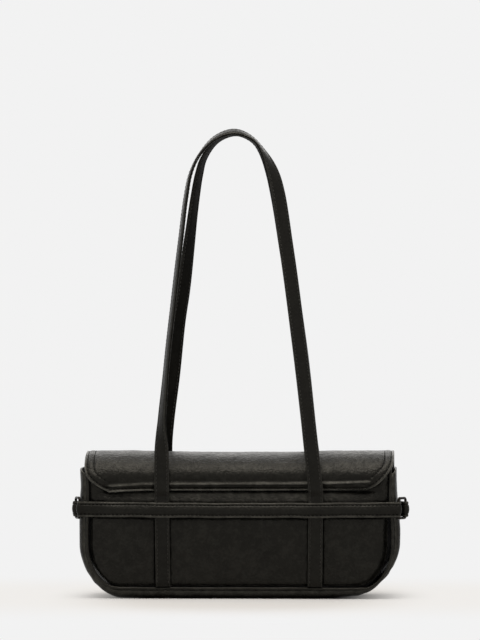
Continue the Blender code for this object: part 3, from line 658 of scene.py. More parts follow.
class Sheet:
    """A piece of leather or cloth cut to an outline, laid on a surface, with rounded edges."""

    def __init__(self, outline, place, thickness, relief=None, wear_and_highlight=None):
        outline = np.asarray(outline, float)
        x, y = outline[:, 0], outline[:, 1]
        area = (x * np.roll(y, -1) - np.roll(x, -1) * y).sum()
        self.outline = outline if area > 0 else outline[::-1]
        self.place, self.half, self.relief, self.wear_and_highlight = place, thickness / 2, relief, wear_and_highlight

    def build(self, name, spacing, look, rows=(), lines=()):
        """Meshes the sheet. Rows and lines are where its relief needs extra points."""
        ring = self.ring = divide(self.outline, spacing)
        fine = [inset(ring, self.half * share) for share in (0.3, 1.0)]
        fine += [inset(ring, distance) for distance in rows]
        fine += [divide(line, spacing, closed=False) for line in lines]
        low, high = ring.min(0), ring.max(0)
        across = np.arange(low[0] + spacing / 2, high[0], spacing)
        up = np.arange(low[1] + spacing / 2, high[1], spacing * 0.87)
        grid = np.array([(x + spacing / 2 * (k % 2), y) for k, y in enumerate(up) for x in across])
        fine = np.vstack(fine)
        fine = fine[inside(fine, ring)]
        grid = grid[inside(grid, ring)]
        tree = KDTree(len(fine) + len(ring))
        for k, point in enumerate(np.vstack([fine, ring])):
            tree.insert((*point, 0), k)
        tree.balance()
        clear = [tree.find((*point, 0))[2] > spacing * 0.62 for point in grid]
        flat = np.vstack([ring, fine, grid[clear]])
        border = [list(range(len(ring)))]
        made = delaunay_2d_cdt([Vector(p) for p in flat.tolist()], [], border, 1, 1e-7)
        flat = np.array([tuple(v) for v in made[0]])
        faces = [tuple(face) for face in made[2]]
        on_edge = np.array([any(k < len(ring) for k in kept) for kept in made[3]])
        d = np.where(on_edge, 0.0, edge_distance(flat, ring))
        middle = self.place(flat[:, 0], flat[:, 1], d)
        corners = np.array([face[:3] for face in faces])
        a, b, c = (middle[corners[:, k]] for k in range(3))
        normals = np.zeros_like(middle)
        for k in range(3):
            np.add.at(normals, corners[:, k], np.cross(b - a, c - a))
        normals = unit(normals)
        swell = np.sqrt(np.clip(1 - (1 - np.clip(d / self.half, 0, 1)) ** 2, 0, 1))
        detail = self.relief(flat[:, 0], flat[:, 1], d) if self.relief else 0.0
        outer = middle + normals * (swell * (self.half + detail))[:, None]
        inner = middle - normals * (swell * self.half)[:, None]
        index = np.full(len(flat), -1)
        index[~on_edge] = len(flat) + np.arange((~on_edge).sum())
        index[on_edge] = np.arange(len(flat))[on_edge]
        points = np.vstack([outer, inner[~on_edge]])
        turned = [tuple(int(index[k]) for k in reversed(face)) for face in faces]
        # The edge attribute paints the edge band, and any extra marks, paler: partly rubbed wear and
        # partly painted highlight.
        rub_and_sheen = bell(np.clip(d, 0, None), 0.0, WEAR_AND_HIGHLIGHT_WIDTH)
        if self.wear_and_highlight:
            rub_and_sheen = np.clip(rub_and_sheen + self.wear_and_highlight(flat[:, 0], flat[:, 1], d), 0, 1)
        edge = np.concatenate([rub_and_sheen, rub_and_sheen[~on_edge] * 0.5])
        return mesh_object(name, points, faces + turned, look, edge)

    def row(self, distance, keep=None):
        """Lines of (points, normals) on the sheet at a distance from its edge."""
        ring = divide(self.outline, 0.0012)
        along = unit(np.roll(ring, -1, 0) - np.roll(ring, 1, 0))
        inward = np.stack([-along[:, 1], along[:, 0]], 1)
        moved = ring + inward * distance
        good = edge_distance(moved, ring) > distance * 0.985
        if keep is not None:
            good &= keep(moved[:, 0], moved[:, 1])
        first = int(np.argmin(good)) if not good.all() else 0
        order = np.roll(np.arange(len(ring)), -first)
        runs, run = [], []
        for k in order:
            if good[k]:
                run.append(k)
            elif run:
                runs.append(run)
                run = []
        if run:
            runs.append(run + [run[0]] if good.all() else run)
        return [self.lift(moved[run], inward[run]) for run in runs if len(run) >= 6]

    def lift(self, flat, inward):
        d = edge_distance(flat, self.ring)
        step = 0.0004
        here = self.place(flat[:, 0], flat[:, 1], d)
        beside = self.place(*(flat + inward * step).T, d + step)
        tangent = unit(np.gradient(here, axis=0))
        normal = unit(np.cross(tangent, unit(beside - here)))
        height = self.half + (self.relief(flat[:, 0], flat[:, 1], d) if self.relief else 0.0)
        return here + normal * np.reshape(height, (-1, 1)), normal


def stitches(name, lines, look):
    """Rows of thread stitches along lines of (points, normals), as one mesh."""
    offsets = np.array([-0.5, -0.40, 0.0, 0.40, 0.5]) * STITCH_LENGTH
    heights = np.array([-0.00030, 0.00006, 0.00016, 0.00006, -0.00030])
    widths = np.array([0.75, 1.0, 1.05, 1.0, 0.75]) * STITCH_RADIUS
    sides = 6
    last = sides * (len(offsets) - 1)
    turns = np.linspace(0, 2 * math.pi, sides, endpoint=False)[None, :, None]
    points, faces = [], []
    for line, normals in lines:
        arc = arc_length(line)
        count = int((arc[-1] - STITCH_LENGTH) / STITCH_PITCH)
        if count < 1:
            continue
        starts = (arc[-1] - (count - 1) * STITCH_PITCH) / 2 + STITCH_PITCH * np.arange(count)
        at = (starts[:, None] + offsets[None]).ravel()

        def along(values, where):
            return np.stack([np.interp(where, arc, values[:, k]) for k in range(3)], 1)

        centre, normal = along(line, at), unit(along(normals, at))
        tangent = unit(along(line, at + 0.0003) - along(line, at - 0.0003))
        side = unit(np.cross(tangent, normal))
        centre = centre + normal * np.tile(heights, count)[:, None]
        ring = normal[:, None] * np.cos(turns) + side[:, None] * np.sin(turns)
        width = np.tile(widths, count)[:, None, None]
        base = sum(len(p) for p in points)
        points.append((centre[:, None] + ring * width).reshape(-1, 3))
        for first in range(base, base + (last + sides) * count, last + sides):
            faces.append(tuple(first + k for k in range(sides)))
            faces.append(tuple(first + last + k for k in reversed(range(sides))))
            for low in range(first, first + last, sides):
                high = low + sides
                for k in range(sides):
                    after = (k + 1) % sides
                    faces.append((low + k, high + k, high + after, low + after))
    return mesh_object(name, np.vstack(points), faces, look)


def loft(name, rings, look, edge=None, closed=False):
    """A body through rings of equal length, capped at both ends or joined end to end."""
    rings = np.asarray(rings, float)
    rows, count = rings.shape[:2]
    faces = []
    for row in range(rows if closed else rows - 1):
        low, high = row * count, (row + 1) % rows * count
        for k in range(count):
            after = (k + 1) % count
            faces.append((low + k, low + after, high + after, high + k))
    if not closed:
        faces.append(tuple(reversed(range(count))))
        faces.append(tuple((rows - 1) * count + k for k in range(count)))
    return mesh_object(name, rings.reshape(-1, 3), faces, look, edge)


def tube(name, line, radius, look, sides, closed=False, up=(0, 1, 0), wear_and_highlight=0.0):
    """A round wire or cord along a line. Its radius is one number or one for each point."""
    line = np.asarray(line, float)
    if closed:
        tangent = unit(np.roll(line, -1, 0) - np.roll(line, 1, 0))
    else:
        tangent = unit(np.gradient(line, axis=0))
    side = unit(np.cross(tangent, np.broadcast_to(np.array(up, float), tangent.shape)))
    over = np.cross(side, tangent)
    turns = np.linspace(0, 2 * math.pi, sides, endpoint=False)[None, :, None]
    width = np.broadcast_to(np.asarray(radius, float), (len(line),))[:, None, None]
    ring = side[:, None] * np.cos(turns) + over[:, None] * np.sin(turns)
    rings = line[:, None] + ring * width
    if not closed:
        shares = np.sin(np.radians([25, 50, 72]))
        for end, first, sign in ((0, rings[0], -1), (-1, rings[-1], 1)):
            extra = []
            for share in shares:
                shrunk = line[end] + (first - line[end]) * math.sqrt(1 - share**2)
                extra.append(shrunk + tangent[end] * sign * share * np.ravel(width)[end])
            rings = np.vstack([extra[::-1], rings] if end == 0 else [rings, extra])
    # An even edge value paints the whole tube paler: a painted highlight.
    edge = np.full(rings.shape[0] * sides, wear_and_highlight) if wear_and_highlight else None
    return loft(name, rings, look, edge, closed)


def strip_section(half_width, low, high, groove, drop, pillow=0.00026, dip=0.00026):
    """Outline of a leather strip across its length, with a groove under each stitch row.

    The face falls by drop over the shoulder, from the groove to the edge.
    """
    inner = [(groove * share, pillow * (1 - share**1.6)) for share in (0.0, 0.2, 0.4, 0.6, 0.8)]
    inner += [(groove - 0.0003, -dip), (groove + 0.0003, -dip), (groove + 0.0007, 0.00006)]
    turns = np.radians([76, 60, 45, 30, 15, 0])
    reach = half_width - groove - 0.0007
    shoulder = [
        (half_width - reach * (1 - math.cos(t)), -drop * (1 - math.sin(t))) for t in turns
    ]
    right = [(a, high + b) for a, b in inner + shoulder]
    right += [(half_width - 0.0002, low + 0.0001), (half_width - 0.0006, low)]
    left = [(-a, b) for a, b in reversed(right[1:])]
    section = np.array(left + right + [(0.0, low)])
    # Mask of the edges that are painted paler: partly rubbed wear, partly painted highlight.
    edge = smooth((np.abs(section[:, 0]) - groove - 0.0006) / 0.0005)
    return section, edge * (section[:, 1] > low + 0.0003)


def band(name, centres, widths, faces, section, edge, look):
    """A strip with this section along a line, with its width and face directions given."""
    rings = (
        centres[:, None]
        + widths[:, None] * section[None, :, 0:1]
        + faces[:, None] * section[None, :, 1:2]
    )
    return loft(name, rings, look, np.tile(edge, len(centres)))


# Outline of the body


def seam_path(top):
    """The seam from its top left round the bottom to its top right: x, z and outward normal."""
    centre_x = SEAM_HALF_LENGTH - SEAM_CORNER_X
    centre_z = SEAM_HEIGHT + SEAM_CORNER_Z
    down = np.linspace(top, centre_z, 40)[:-1]
    turn = np.linspace(0, math.pi / 2, 46)
    corner = np.stack([np.cos(turn), np.sin(turn)], 1)
    one = np.ones_like(down)
    side = np.column_stack([one * SEAM_HALF_LENGTH, down, one, 0 * one])
    normal = unit(np.stack([corner[:, 0] / SEAM_CORNER_X, -corner[:, 1] / SEAM_CORNER_Z], 1))
    bend_x = centre_x + SEAM_CORNER_X * corner[:, 0]
    bend = np.column_stack([bend_x, centre_z - SEAM_CORNER_Z * corner[:, 1], normal])
    across = np.linspace(centre_x, 0, 60)[1:]
    one = np.ones_like(across)
    bottom = np.column_stack([across, one * SEAM_HEIGHT, 0 * one, -one])
    right = np.vstack([side, bend, bottom])
    left = right * np.array([-1, 1, -1, 1])
    return np.vstack([left, right[-2::-1]])


def seam_at(path, s):
    arc = arc_length(path[:, :2])
    return [np.interp(s, arc, path[:, k]) for k in range(4)]


def puffed(y, half_width, edge, full, flat):
    past = np.clip((np.abs(y) - flat) / (half_width - flat), 0, 1)
    return edge + (full - edge) * np.clip(1 - past**PUFF_POWER, 0, 1) ** (1 / PUFF_POWER)


def side_dent(x, z):
    """How far the end of the bag is pressed in at this height: the right end more than the left."""
    left = -0.0010 * bell(z, 0.107, 0.009) + 0.0009 * smooth((0.100 - z) / 0.02)
    right = -0.0034 * smooth((z - 0.072) / 0.045) + 0.0010 * bell(z, 0.062, 0.016)
    return np.where(x < 0, left, right)


def seam_gap(x, z, nx):
    """How far the back seam has opened at the ends: most at the right one, below the belt."""
    width = np.where(x > 0, 0.0021, 0.0006)
    return width * smooth((0.098 - z) / 0.035) * smooth((np.abs(nx) - 0.12) / 0.35)


def gusset_piece(look):
    path = seam_path(GUSSET_TOP)
    length = arc_length(path[:, :2])[-1]

    def crown(y):
        bend = GUSSET_HALF_WIDTH - GUSSET_FLAT_HALF_WIDTH
        past = np.clip((np.abs(y) - GUSSET_FLAT_HALF_WIDTH) / bend, 0, 1)
        return (GUSSET_TOP - GUSSET_EDGE_TOP) * past**2

    def place(s, t, d):
        x, z, nx, nz = seam_at(path, s)
        full = GUSSET_SIDE_RISE * nx**2 + SEAM_HEIGHT * nz**2
        full = full - (2 * np.abs(nx * nz)) ** 1.5 * np.where(x > 0, 0.0050, 0.0023)
        full = full - 0.0024 * smooth((x - 0.074) / 0.044) * nz**2
        flat = GUSSET_FLAT_HALF_WIDTH + 0.0010 * nz**2
        rise = puffed(t, GUSSET_HALF_WIDTH, GUSSET_EDGE_RISE, full, flat) - GUSSET_THICKNESS / 2
        rise = rise + seam_gap(x, z, nx) * smooth((-t - 0.026) / 0.012)
        middle = np.sqrt(np.clip(1 - (t / GUSSET_HALF_WIDTH) ** 2, 0, 1))
        rise = rise + side_dent(x, z) * nx**2 * middle
        bend = 4 * np.abs(nx * nz)
        toward_seam = smooth((np.abs(t) - 0.016) / 0.016)
        toward_seam = toward_seam * smooth((GUSSET_HALF_WIDTH - np.abs(t)) / 0.004)
        pucker = noise(s, t, 0.0062, 0.020, 5) + 0.5 * noise(s, t, 0.0034, 0.012, 6)
        rise = rise + pucker * toward_seam * (0.00010 + 0.00018 * bend)
        at_ends = np.clip(np.abs(nx) + 0.15, 0, 1)
        rise = rise + 0.00045 * noise(s, t, 0.034, 0.022, 7) * middle * at_ends
        return np.stack([x + nx * rise, t, z + nz * rise], 1)

    def relief(s, t, d):
        return 0.00006 * noise(s, t, 0.006, 0.006, 9)

    def near_top(s, t):
        return (np.abs(t) < 0.034) & ((s < 0.02) | (s > length - 0.02))

    ts = np.linspace(-GUSSET_HALF_WIDTH, GUSSET_HALF_WIDTH, 61)
    start = np.stack([crown(ts), ts], 1)
    finish = np.stack([length - crown(ts), ts], 1)[::-1]
    sheet = Sheet(np.vstack([start, finish]), place, GUSSET_THICKNESS, relief)
    obj = sheet.build("gusset_leather", 0.0021, look)
    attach(obj, "bag_body")
    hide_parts("gusset")
    return sheet.row(0.0030, near_top)


def top_lean(x, z, side):
    """How far the top of the back panel leans in. The front one is held flat by the snap."""
    if side > 0:
        return 0.0003 * smooth((z - 0.095) / 0.02)
    rise = np.clip(z - 0.0890, 0, 0.0130)
    slope = np.where(rise < 0.003, rise**2 / 0.006, rise - 0.0015)
    lean = 0.36 * slope + 4.5 * slope**2 + 0.0015 * smooth((z - 0.0992) / 0.0016)
    return lean * smooth((0.1385 - np.abs(x)) / 0.018)


def board_piece(name, side, look):
    """The stiffening sheet behind a panel."""
    path = seam_path(BOARD_TOP)
    outline = path[:, :2] - path[:, 2:] * BOARD_INSET

    def place(x, z, d):
        return np.stack([x, side * (BOARD_LINE - top_lean(x, z, side)), z], 1)

    sheet = Sheet(outline, place, BOARD_THICKNESS)
    obj = sheet.build(f"{name}_board", 0.0060, look)
    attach(obj, "bag_body")
    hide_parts(name)


def panel_piece(name, side, look):
    path = seam_path(PANEL_VISIBLE_TOP)
    outline = path[:, :2] - path[:, 2:] * PANEL_GAP[side]
    seam = outline[1:-1]

    def place(x, z, d):
        off = point_distance(np.stack([x, z], 1), seam)
        from_strap = np.abs(np.abs(x) - STRAP_X)
        corner = smooth((-side * x - 0.095) / 0.03) * smooth((0.085 - z) / 0.03)
        open_seam = (side < 0) * np.where(x > 0, 1.0, 0.35) * smooth((0.100 - z) / 0.03)
        open_seam = open_seam * smooth((np.abs(x) - 0.112) / 0.022)
        wide = 0.0032 + 0.0030 * corner + 0.0008 * open_seam
        depth = 0.0034 + 0.0008 * corner + 0.0020 * open_seam
        depth = depth - 0.0016 * smooth((z - 0.088) / 0.010)
        roll = depth * (1 - smooth(off / wide)) ** 1.1
        free = smooth((from_strap - 0.0085) / 0.012) * smooth((0.074 - z) / 0.01)
        wave = 0.00026 * noise(x, z, 0.048, 0.030, 11 + side)
        wave = wave + 0.00014 * noise(x, z, 0.016, 0.012, 21 + side)
        from_belt = np.abs(z - BELT_CENTRE - back_droop(x)) - BELT_HALF_HEIGHT
        under_belt = 1 - smooth((from_belt - 0.0003) / 0.0015)
        beside_strap = 1 - smooth((from_strap - STRAP_HALF_WIDTH) / 0.0012)
        dip = 0.0012 * np.maximum(under_belt, 0.8 * beside_strap * smooth((0.088 - z) / 0.004))
        out = free * (0.00035 + wave) - roll - dip - top_lean(x, z, side)
        return np.stack([x, side * (PANEL_FACE - PANEL_THICKNESS / 2 + out), z], 1)

    def relief(x, z, d):
        crumple = np.abs(noise(x, z, 0.0022, 0.0026, 14))
        crumple = crumple + 0.6 * np.abs(noise(x, z, 0.0050, 0.0042, 15))
        above = smooth((z - 0.090) / 0.006)
        return 0.00006 * noise(x, z, 0.007, 0.006, 13) - crumple * (0.00003 + 0.00009 * above)

    # Painted light: the strip of back panel between the belt and the yoke is painted paler, most
    # towards the yoke, standing in for light that the yoke's overhang keeps off; a little of it is
    # patchy wear. It stops just under the yoke's edge.
    def wear_and_highlight(x, z, d):
        fades = smooth((0.118 - np.abs(x)) / 0.035)
        worn_and_lit_patch = 0.19 + 0.07 * noise(x, z, 0.012, 0.006, 16)
        worn_and_lit_patch = worn_and_lit_patch + 0.20 * noise(x, z, 0.0022, 0.0016, 17)
        worn_and_lit_patch = worn_and_lit_patch + 0.70 * smooth((z - 0.0945) / 0.0050)
        shown = (side < 0) * smooth((z - 0.0905) / 0.002) * smooth((0.1002 - z) / 0.0012)
        return shown * fades * worn_and_lit_patch

    sheet = Sheet(outline, place, PANEL_THICKNESS, relief, wear_and_highlight)
    reach = SEAM_HALF_LENGTH - 0.008
    across = np.linspace(-reach, reach, 3)
    heights = np.arange(0.0915, 0.1045, 0.0008)
    lines = [np.stack([across, 0 * across + height], 1) for height in heights]
    across = np.linspace(-reach, reach, 90)
    low_edge = BELT_CENTRE - BELT_HALF_HEIGHT + back_droop(across)
    offsets = (-0.0014, -0.0009, -0.0004, 0.0001, 0.0006)
    lines += [np.stack([across, low_edge + up], 1) for up in offsets]
    low_z = np.linspace(0.016, 0.086, 3)
    for strap_x in (-STRAP_X, STRAP_X):
        for away in (-0.0082, -0.0076, -0.0070, 0.0070, 0.0076, 0.0082):
            lines.append(np.stack([0 * low_z + strap_x + away, low_z], 1))
    rows = (0.0005, 0.0010, 0.0015, 0.0020, 0.0030, 0.0042)
    obj = sheet.build(f"{name}_leather", 0.0020, look, rows, lines)
    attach(obj, "bag_body")
    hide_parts(name)
    return sheet.row(0.0022, lambda x, z: z > PANEL_VISIBLE_TOP - 0.004)


def piping_piece(name, side, look):
    path = seam_path(PIPING_TOP)
    arc = arc_length(path[:, :2])
    s = np.linspace(0, arc[-1], 620)
    x, z, nx, nz = seam_at(path, s)
    bend = np.abs(nx * nz) * 2
    shift = PIPING_RISE + 0.00022 * noise_along(s, 0.022, 31 + side) * (1 - bend)
    if side < 0:
        shift = shift + seam_gap(x, z, nx)
    lean = 0.0034 * np.clip((z - 0.100) / (PIPING_TOP - 0.100), 0, 1) ** 2
    y = side * (PANEL_FACE + PIPING_OUT - PIPING_RADIUS - lean)
    y = y + 0.00018 * noise_along(s, 0.030, 33 + side)
    width = PIPING_RADIUS * (1 + 0.05 * noise_along(s, 0.0042, 35 + side) * (0.5 + bend))
    line = np.stack([x + nx * shift, y, z + nz * shift], 1)
    # The piping is painted paler all over, a painted highlight along its lit top.
    obj = tube(f"{name}_leather", line, width, look, 16, wear_and_highlight=0.22)
    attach(obj, "bag_body")
    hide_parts(name)


# Lining and pocket


def lining_piece(look):
    """The cloth bucket inside the bag, loose enough to ripple, with its rim turned over."""
    around, walls, floor_rows = 240, 44, 16
    share = np.linspace(0, 1, around, endpoint=False)

    def loop(z, shrink, gap):
        """One turn of the bucket at a height, pulled in by a gap and shrunk to the middle."""
        centre_x = SEAM_HALF_LENGTH - SEAM_CORNER_X
        centre_z = SEAM_HEIGHT + SEAM_CORNER_Z
        low = SEAM_HEIGHT - LINING_RISE + gap
        drop = np.clip((centre_z - z) / (centre_z - low), 0, 1)
        power = LINING_CORNER_POWER
        turn = np.clip(1 - drop**power, 0, 1) ** (1 / power)
        x_full = centre_x + (SEAM_CORNER_X + LINING_RISE - gap) * turn
        side_low = SEAM_HEIGHT - LINING_EDGE_RISE
        depth = np.clip((side_low - z) / (side_low - low), 0, 1)
        half = LINING_HALF_WIDTH - gap
        y_full = half - (half - GUSSET_FLAT_HALF_WIDTH) * (1 - np.sqrt(1 - depth**2))
        corner_x, corner_y = LINING_CORNER, y_full - GUSSET_FLAT_HALF_WIDTH + 0.002
        straight_x, straight_y = x_full - corner_x, y_full - corner_y
        quarter = [(straight_x * k / 24, -y_full) for k in range(24)]
        quarter += [
            (straight_x + corner_x * math.sin(a), -straight_y - corner_y * math.cos(a))
            for a in np.linspace(0, math.pi / 2, 10)
        ]
        quarter += [(x_full, -straight_y * (1 - k / 8)) for k in range(1, 9)]
        right = np.array(quarter)
        right = np.vstack([right, (right * [1, -1])[-2:0:-1]])
        closed = np.vstack([right, -right, right[:1]])
        arc = arc_length(closed)
        x = np.interp(share * arc[-1], arc, closed[:, 0])
        y = np.interp(share * arc[-1], arc, closed[:, 1])
        lean = np.where(y < 0, top_lean(x, z, -1), 0.0) * smooth(-y / 0.03)
        return np.stack([x * shrink, y * shrink + lean], 1), share * arc[-1]

    def shell(gap, ripple):
        rows = []
        bottom = SEAM_HEIGHT - LINING_RISE + gap
        heights = bottom + (LINING_TOP - bottom) * (1 - np.linspace(0, 1, walls)) ** 1.35
        for z in heights:
            flat, arc = loop(z, 1.0, gap)
            down = (LINING_TOP - z) / LINING_TOP
            loose = smooth(down / 0.15) * ripple
            push = np.abs(noise(arc, z + 0 * arc, 0.017, 0.045, 41)) * 0.9
            push = push + np.abs(noise(arc, z + 0 * arc, 0.007, 0.02, 43)) * 0.3
            flat = flat - unit(flat) * (loose * push)[:, None]
            rows.append(np.column_stack([flat, np.full(around, z)]))
        for shrink in np.linspace(1, 0, floor_rows + 1)[1:-1]:
            flat, arc = loop(bottom, shrink, gap)
            lift = ripple * 0.5 * np.abs(noise(flat[:, 0], flat[:, 1], 0.03, 0.02, 45))
            lift = lift * smooth((1 - shrink) * 4)
            rows.append(np.column_stack([flat, bottom + lift]))
        return np.array(rows)

    outer, inner = shell(0.0, 0.0), shell(LINING_THICKNESS, LINING_RIPPLE)
    rim = (outer[0] + inner[0]) / 2 + [0, 0, 0.0005]
    rings = np.concatenate([outer[::-1], rim[None], inner])
    obj = loft("lining_cloth", rings, look)
    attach(obj, "bag_body")
    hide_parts("lining")


def pocket_piece(look):
    wall = -(LINING_HALF_WIDTH - LINING_THICKNESS) + 0.0005
    half = POCKET_HALF_LENGTH
    low = [(x, POCKET_BOTTOM, POCKET_CORNER) for x in (-half, half)]
    outline = rounded([(-half, POCKET_TOP, 0), *low, (half, POCKET_TOP, 0)])

    def place(x, z, d):
        off = np.minimum(half - np.abs(x), z - POCKET_BOTTOM)
        out = 0.0050 * smooth((off - 0.0015) / 0.011)
        out = out + 0.0005 * noise(x, z, 0.022, 0.03, 51) * smooth(off / 0.01)
        return np.stack([x, wall + 0.0004 + out, z], 1)

    def relief(x, z, d):
        return 0.0004 * smooth((z - (POCKET_TOP - 0.009)) / 0.0008)

    sheet = Sheet(outline, place, 0.0010, relief)
    obj = sheet.build("pocket_cloth", 0.0030, look)
    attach(obj, "bag_body")
    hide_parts("inner_pocket")
    hem = sheet.row(0.0080, lambda x, z: (z > POCKET_TOP - 0.010) & (np.abs(x) < half - 0.003))
    return sheet.row(0.0022, lambda x, z: z < POCKET_TOP - 0.003) + hem


# Yoke and flap, one leather over the top of the bag


def arch_table(depth):
    """Distance from the ridge, y and z along the arch at this depth, from back to front."""
    rise = ARCH_RISE - (FLAP_OUTER - depth)
    turn = np.linspace(0, math.pi, 721)
    y = np.concatenate([[-depth], -depth * np.cos(turn), [depth]])
    z = np.concatenate([[0.09], SHOULDER_HEIGHT + rise * np.sin(turn), [0.085]])
    arc = arc_length(np.stack([y, z], 1))
    ridge = int(np.argmax(z))
    return arc - arc[ridge], y, z, ridge


def arch_outline(table, edge_inset):
    """Outline of the leather in x and distance from the ridge, like the photograph at the back."""
    arc, _, z, ridge = table
    reach = ARCH_HALF_LENGTH - edge_inset
    low_edge, notch_top = FLAP_EDGE + edge_inset, NOTCH_TOP + edge_inset
    notch_outer, notch_inner = NOTCH_OUTER + edge_inset, NOTCH_INNER - edge_inset

    def back(points):
        return [(x, np.interp(h, z[: ridge + 1], arc[: ridge + 1])) for x, h in points]

    def front(points):
        return [(x, np.interp(h, z[ridge:][::-1], arc[ridge:][::-1])) for x, h in points]

    bottom = spline(YOKE_BOTTOM, 0.004)[1:-1]
    line = np.vstack([spline(YOKE_LEFT, 0.0012), bottom, spline(YOKE_RIGHT, 0.0012)])
    scale = np.array([reach / ARCH_HALF_LENGTH, 1.0])
    low = [(x, h + edge_inset) for x, h in line * scale]
    corner = rounded(
        [
            (reach, 0.135, 0), (reach, low_edge + 0.017, 0.014),
            (reach - 0.0255, low_edge, 0.004), (0.10, low_edge, 0),
        ]
    )
    notch = rounded(
        [
            (notch_outer, low_edge, 0), (notch_outer, notch_top, NOTCH_CORNER),
            (notch_inner, notch_top, NOTCH_CORNER), (notch_inner, low_edge, 0),
        ]
    )
    half = [tuple(p) for p in corner + notch]
    return np.array(back(low) + front(half) + front([(-x, h) for x, h in reversed(half)]))


def sag(x, t):
    """The middle of the ridge sinks a little between the handles, and the free ends droop."""
    over = np.clip(1 - (t / 0.045) ** 2, 0, 1)
    middle = 0.0016 * np.exp(-((x / 0.085) ** 4))
    ends = 0.0009 * smooth((np.abs(x) - ARCH_HALF_LENGTH + 0.006) / 0.006)
    return over * (middle + ends)


def lay(x, t, y, z):
    """The arch as it lies: it ripples, sinks between the handles and tucks in above the belt."""
    over = bell(t, 0.0, 0.040)
    wave = 0.00040 * noise(x, t, 0.040, 0.055, 61) + 0.00020 * noise(x, t, 0.013, 0.030, 62)
    between = smooth((0.1400 - np.abs(x)) / 0.018)
    tuck_in = 0.0010 * smooth((0.1200 - z) / 0.0080) + 0.0034 * smooth((0.1112 - z) / 0.0068)
    tuck_in = np.where(t < 0, tuck_in * between, 0)
    y = y * (1 + 0.6 * wave / FLAP_OUTER) + tuck_in
    return np.stack([x, y, z + over * wave - sag(x, t)], 1)


def on_arch(table):
    """Where the points of a sheet over this arch lie."""
    arc, y, z, _ = table

    def place(x, t, d):
        return lay(x, t, np.interp(t, arc, y), np.interp(t, arc, z))

    return place


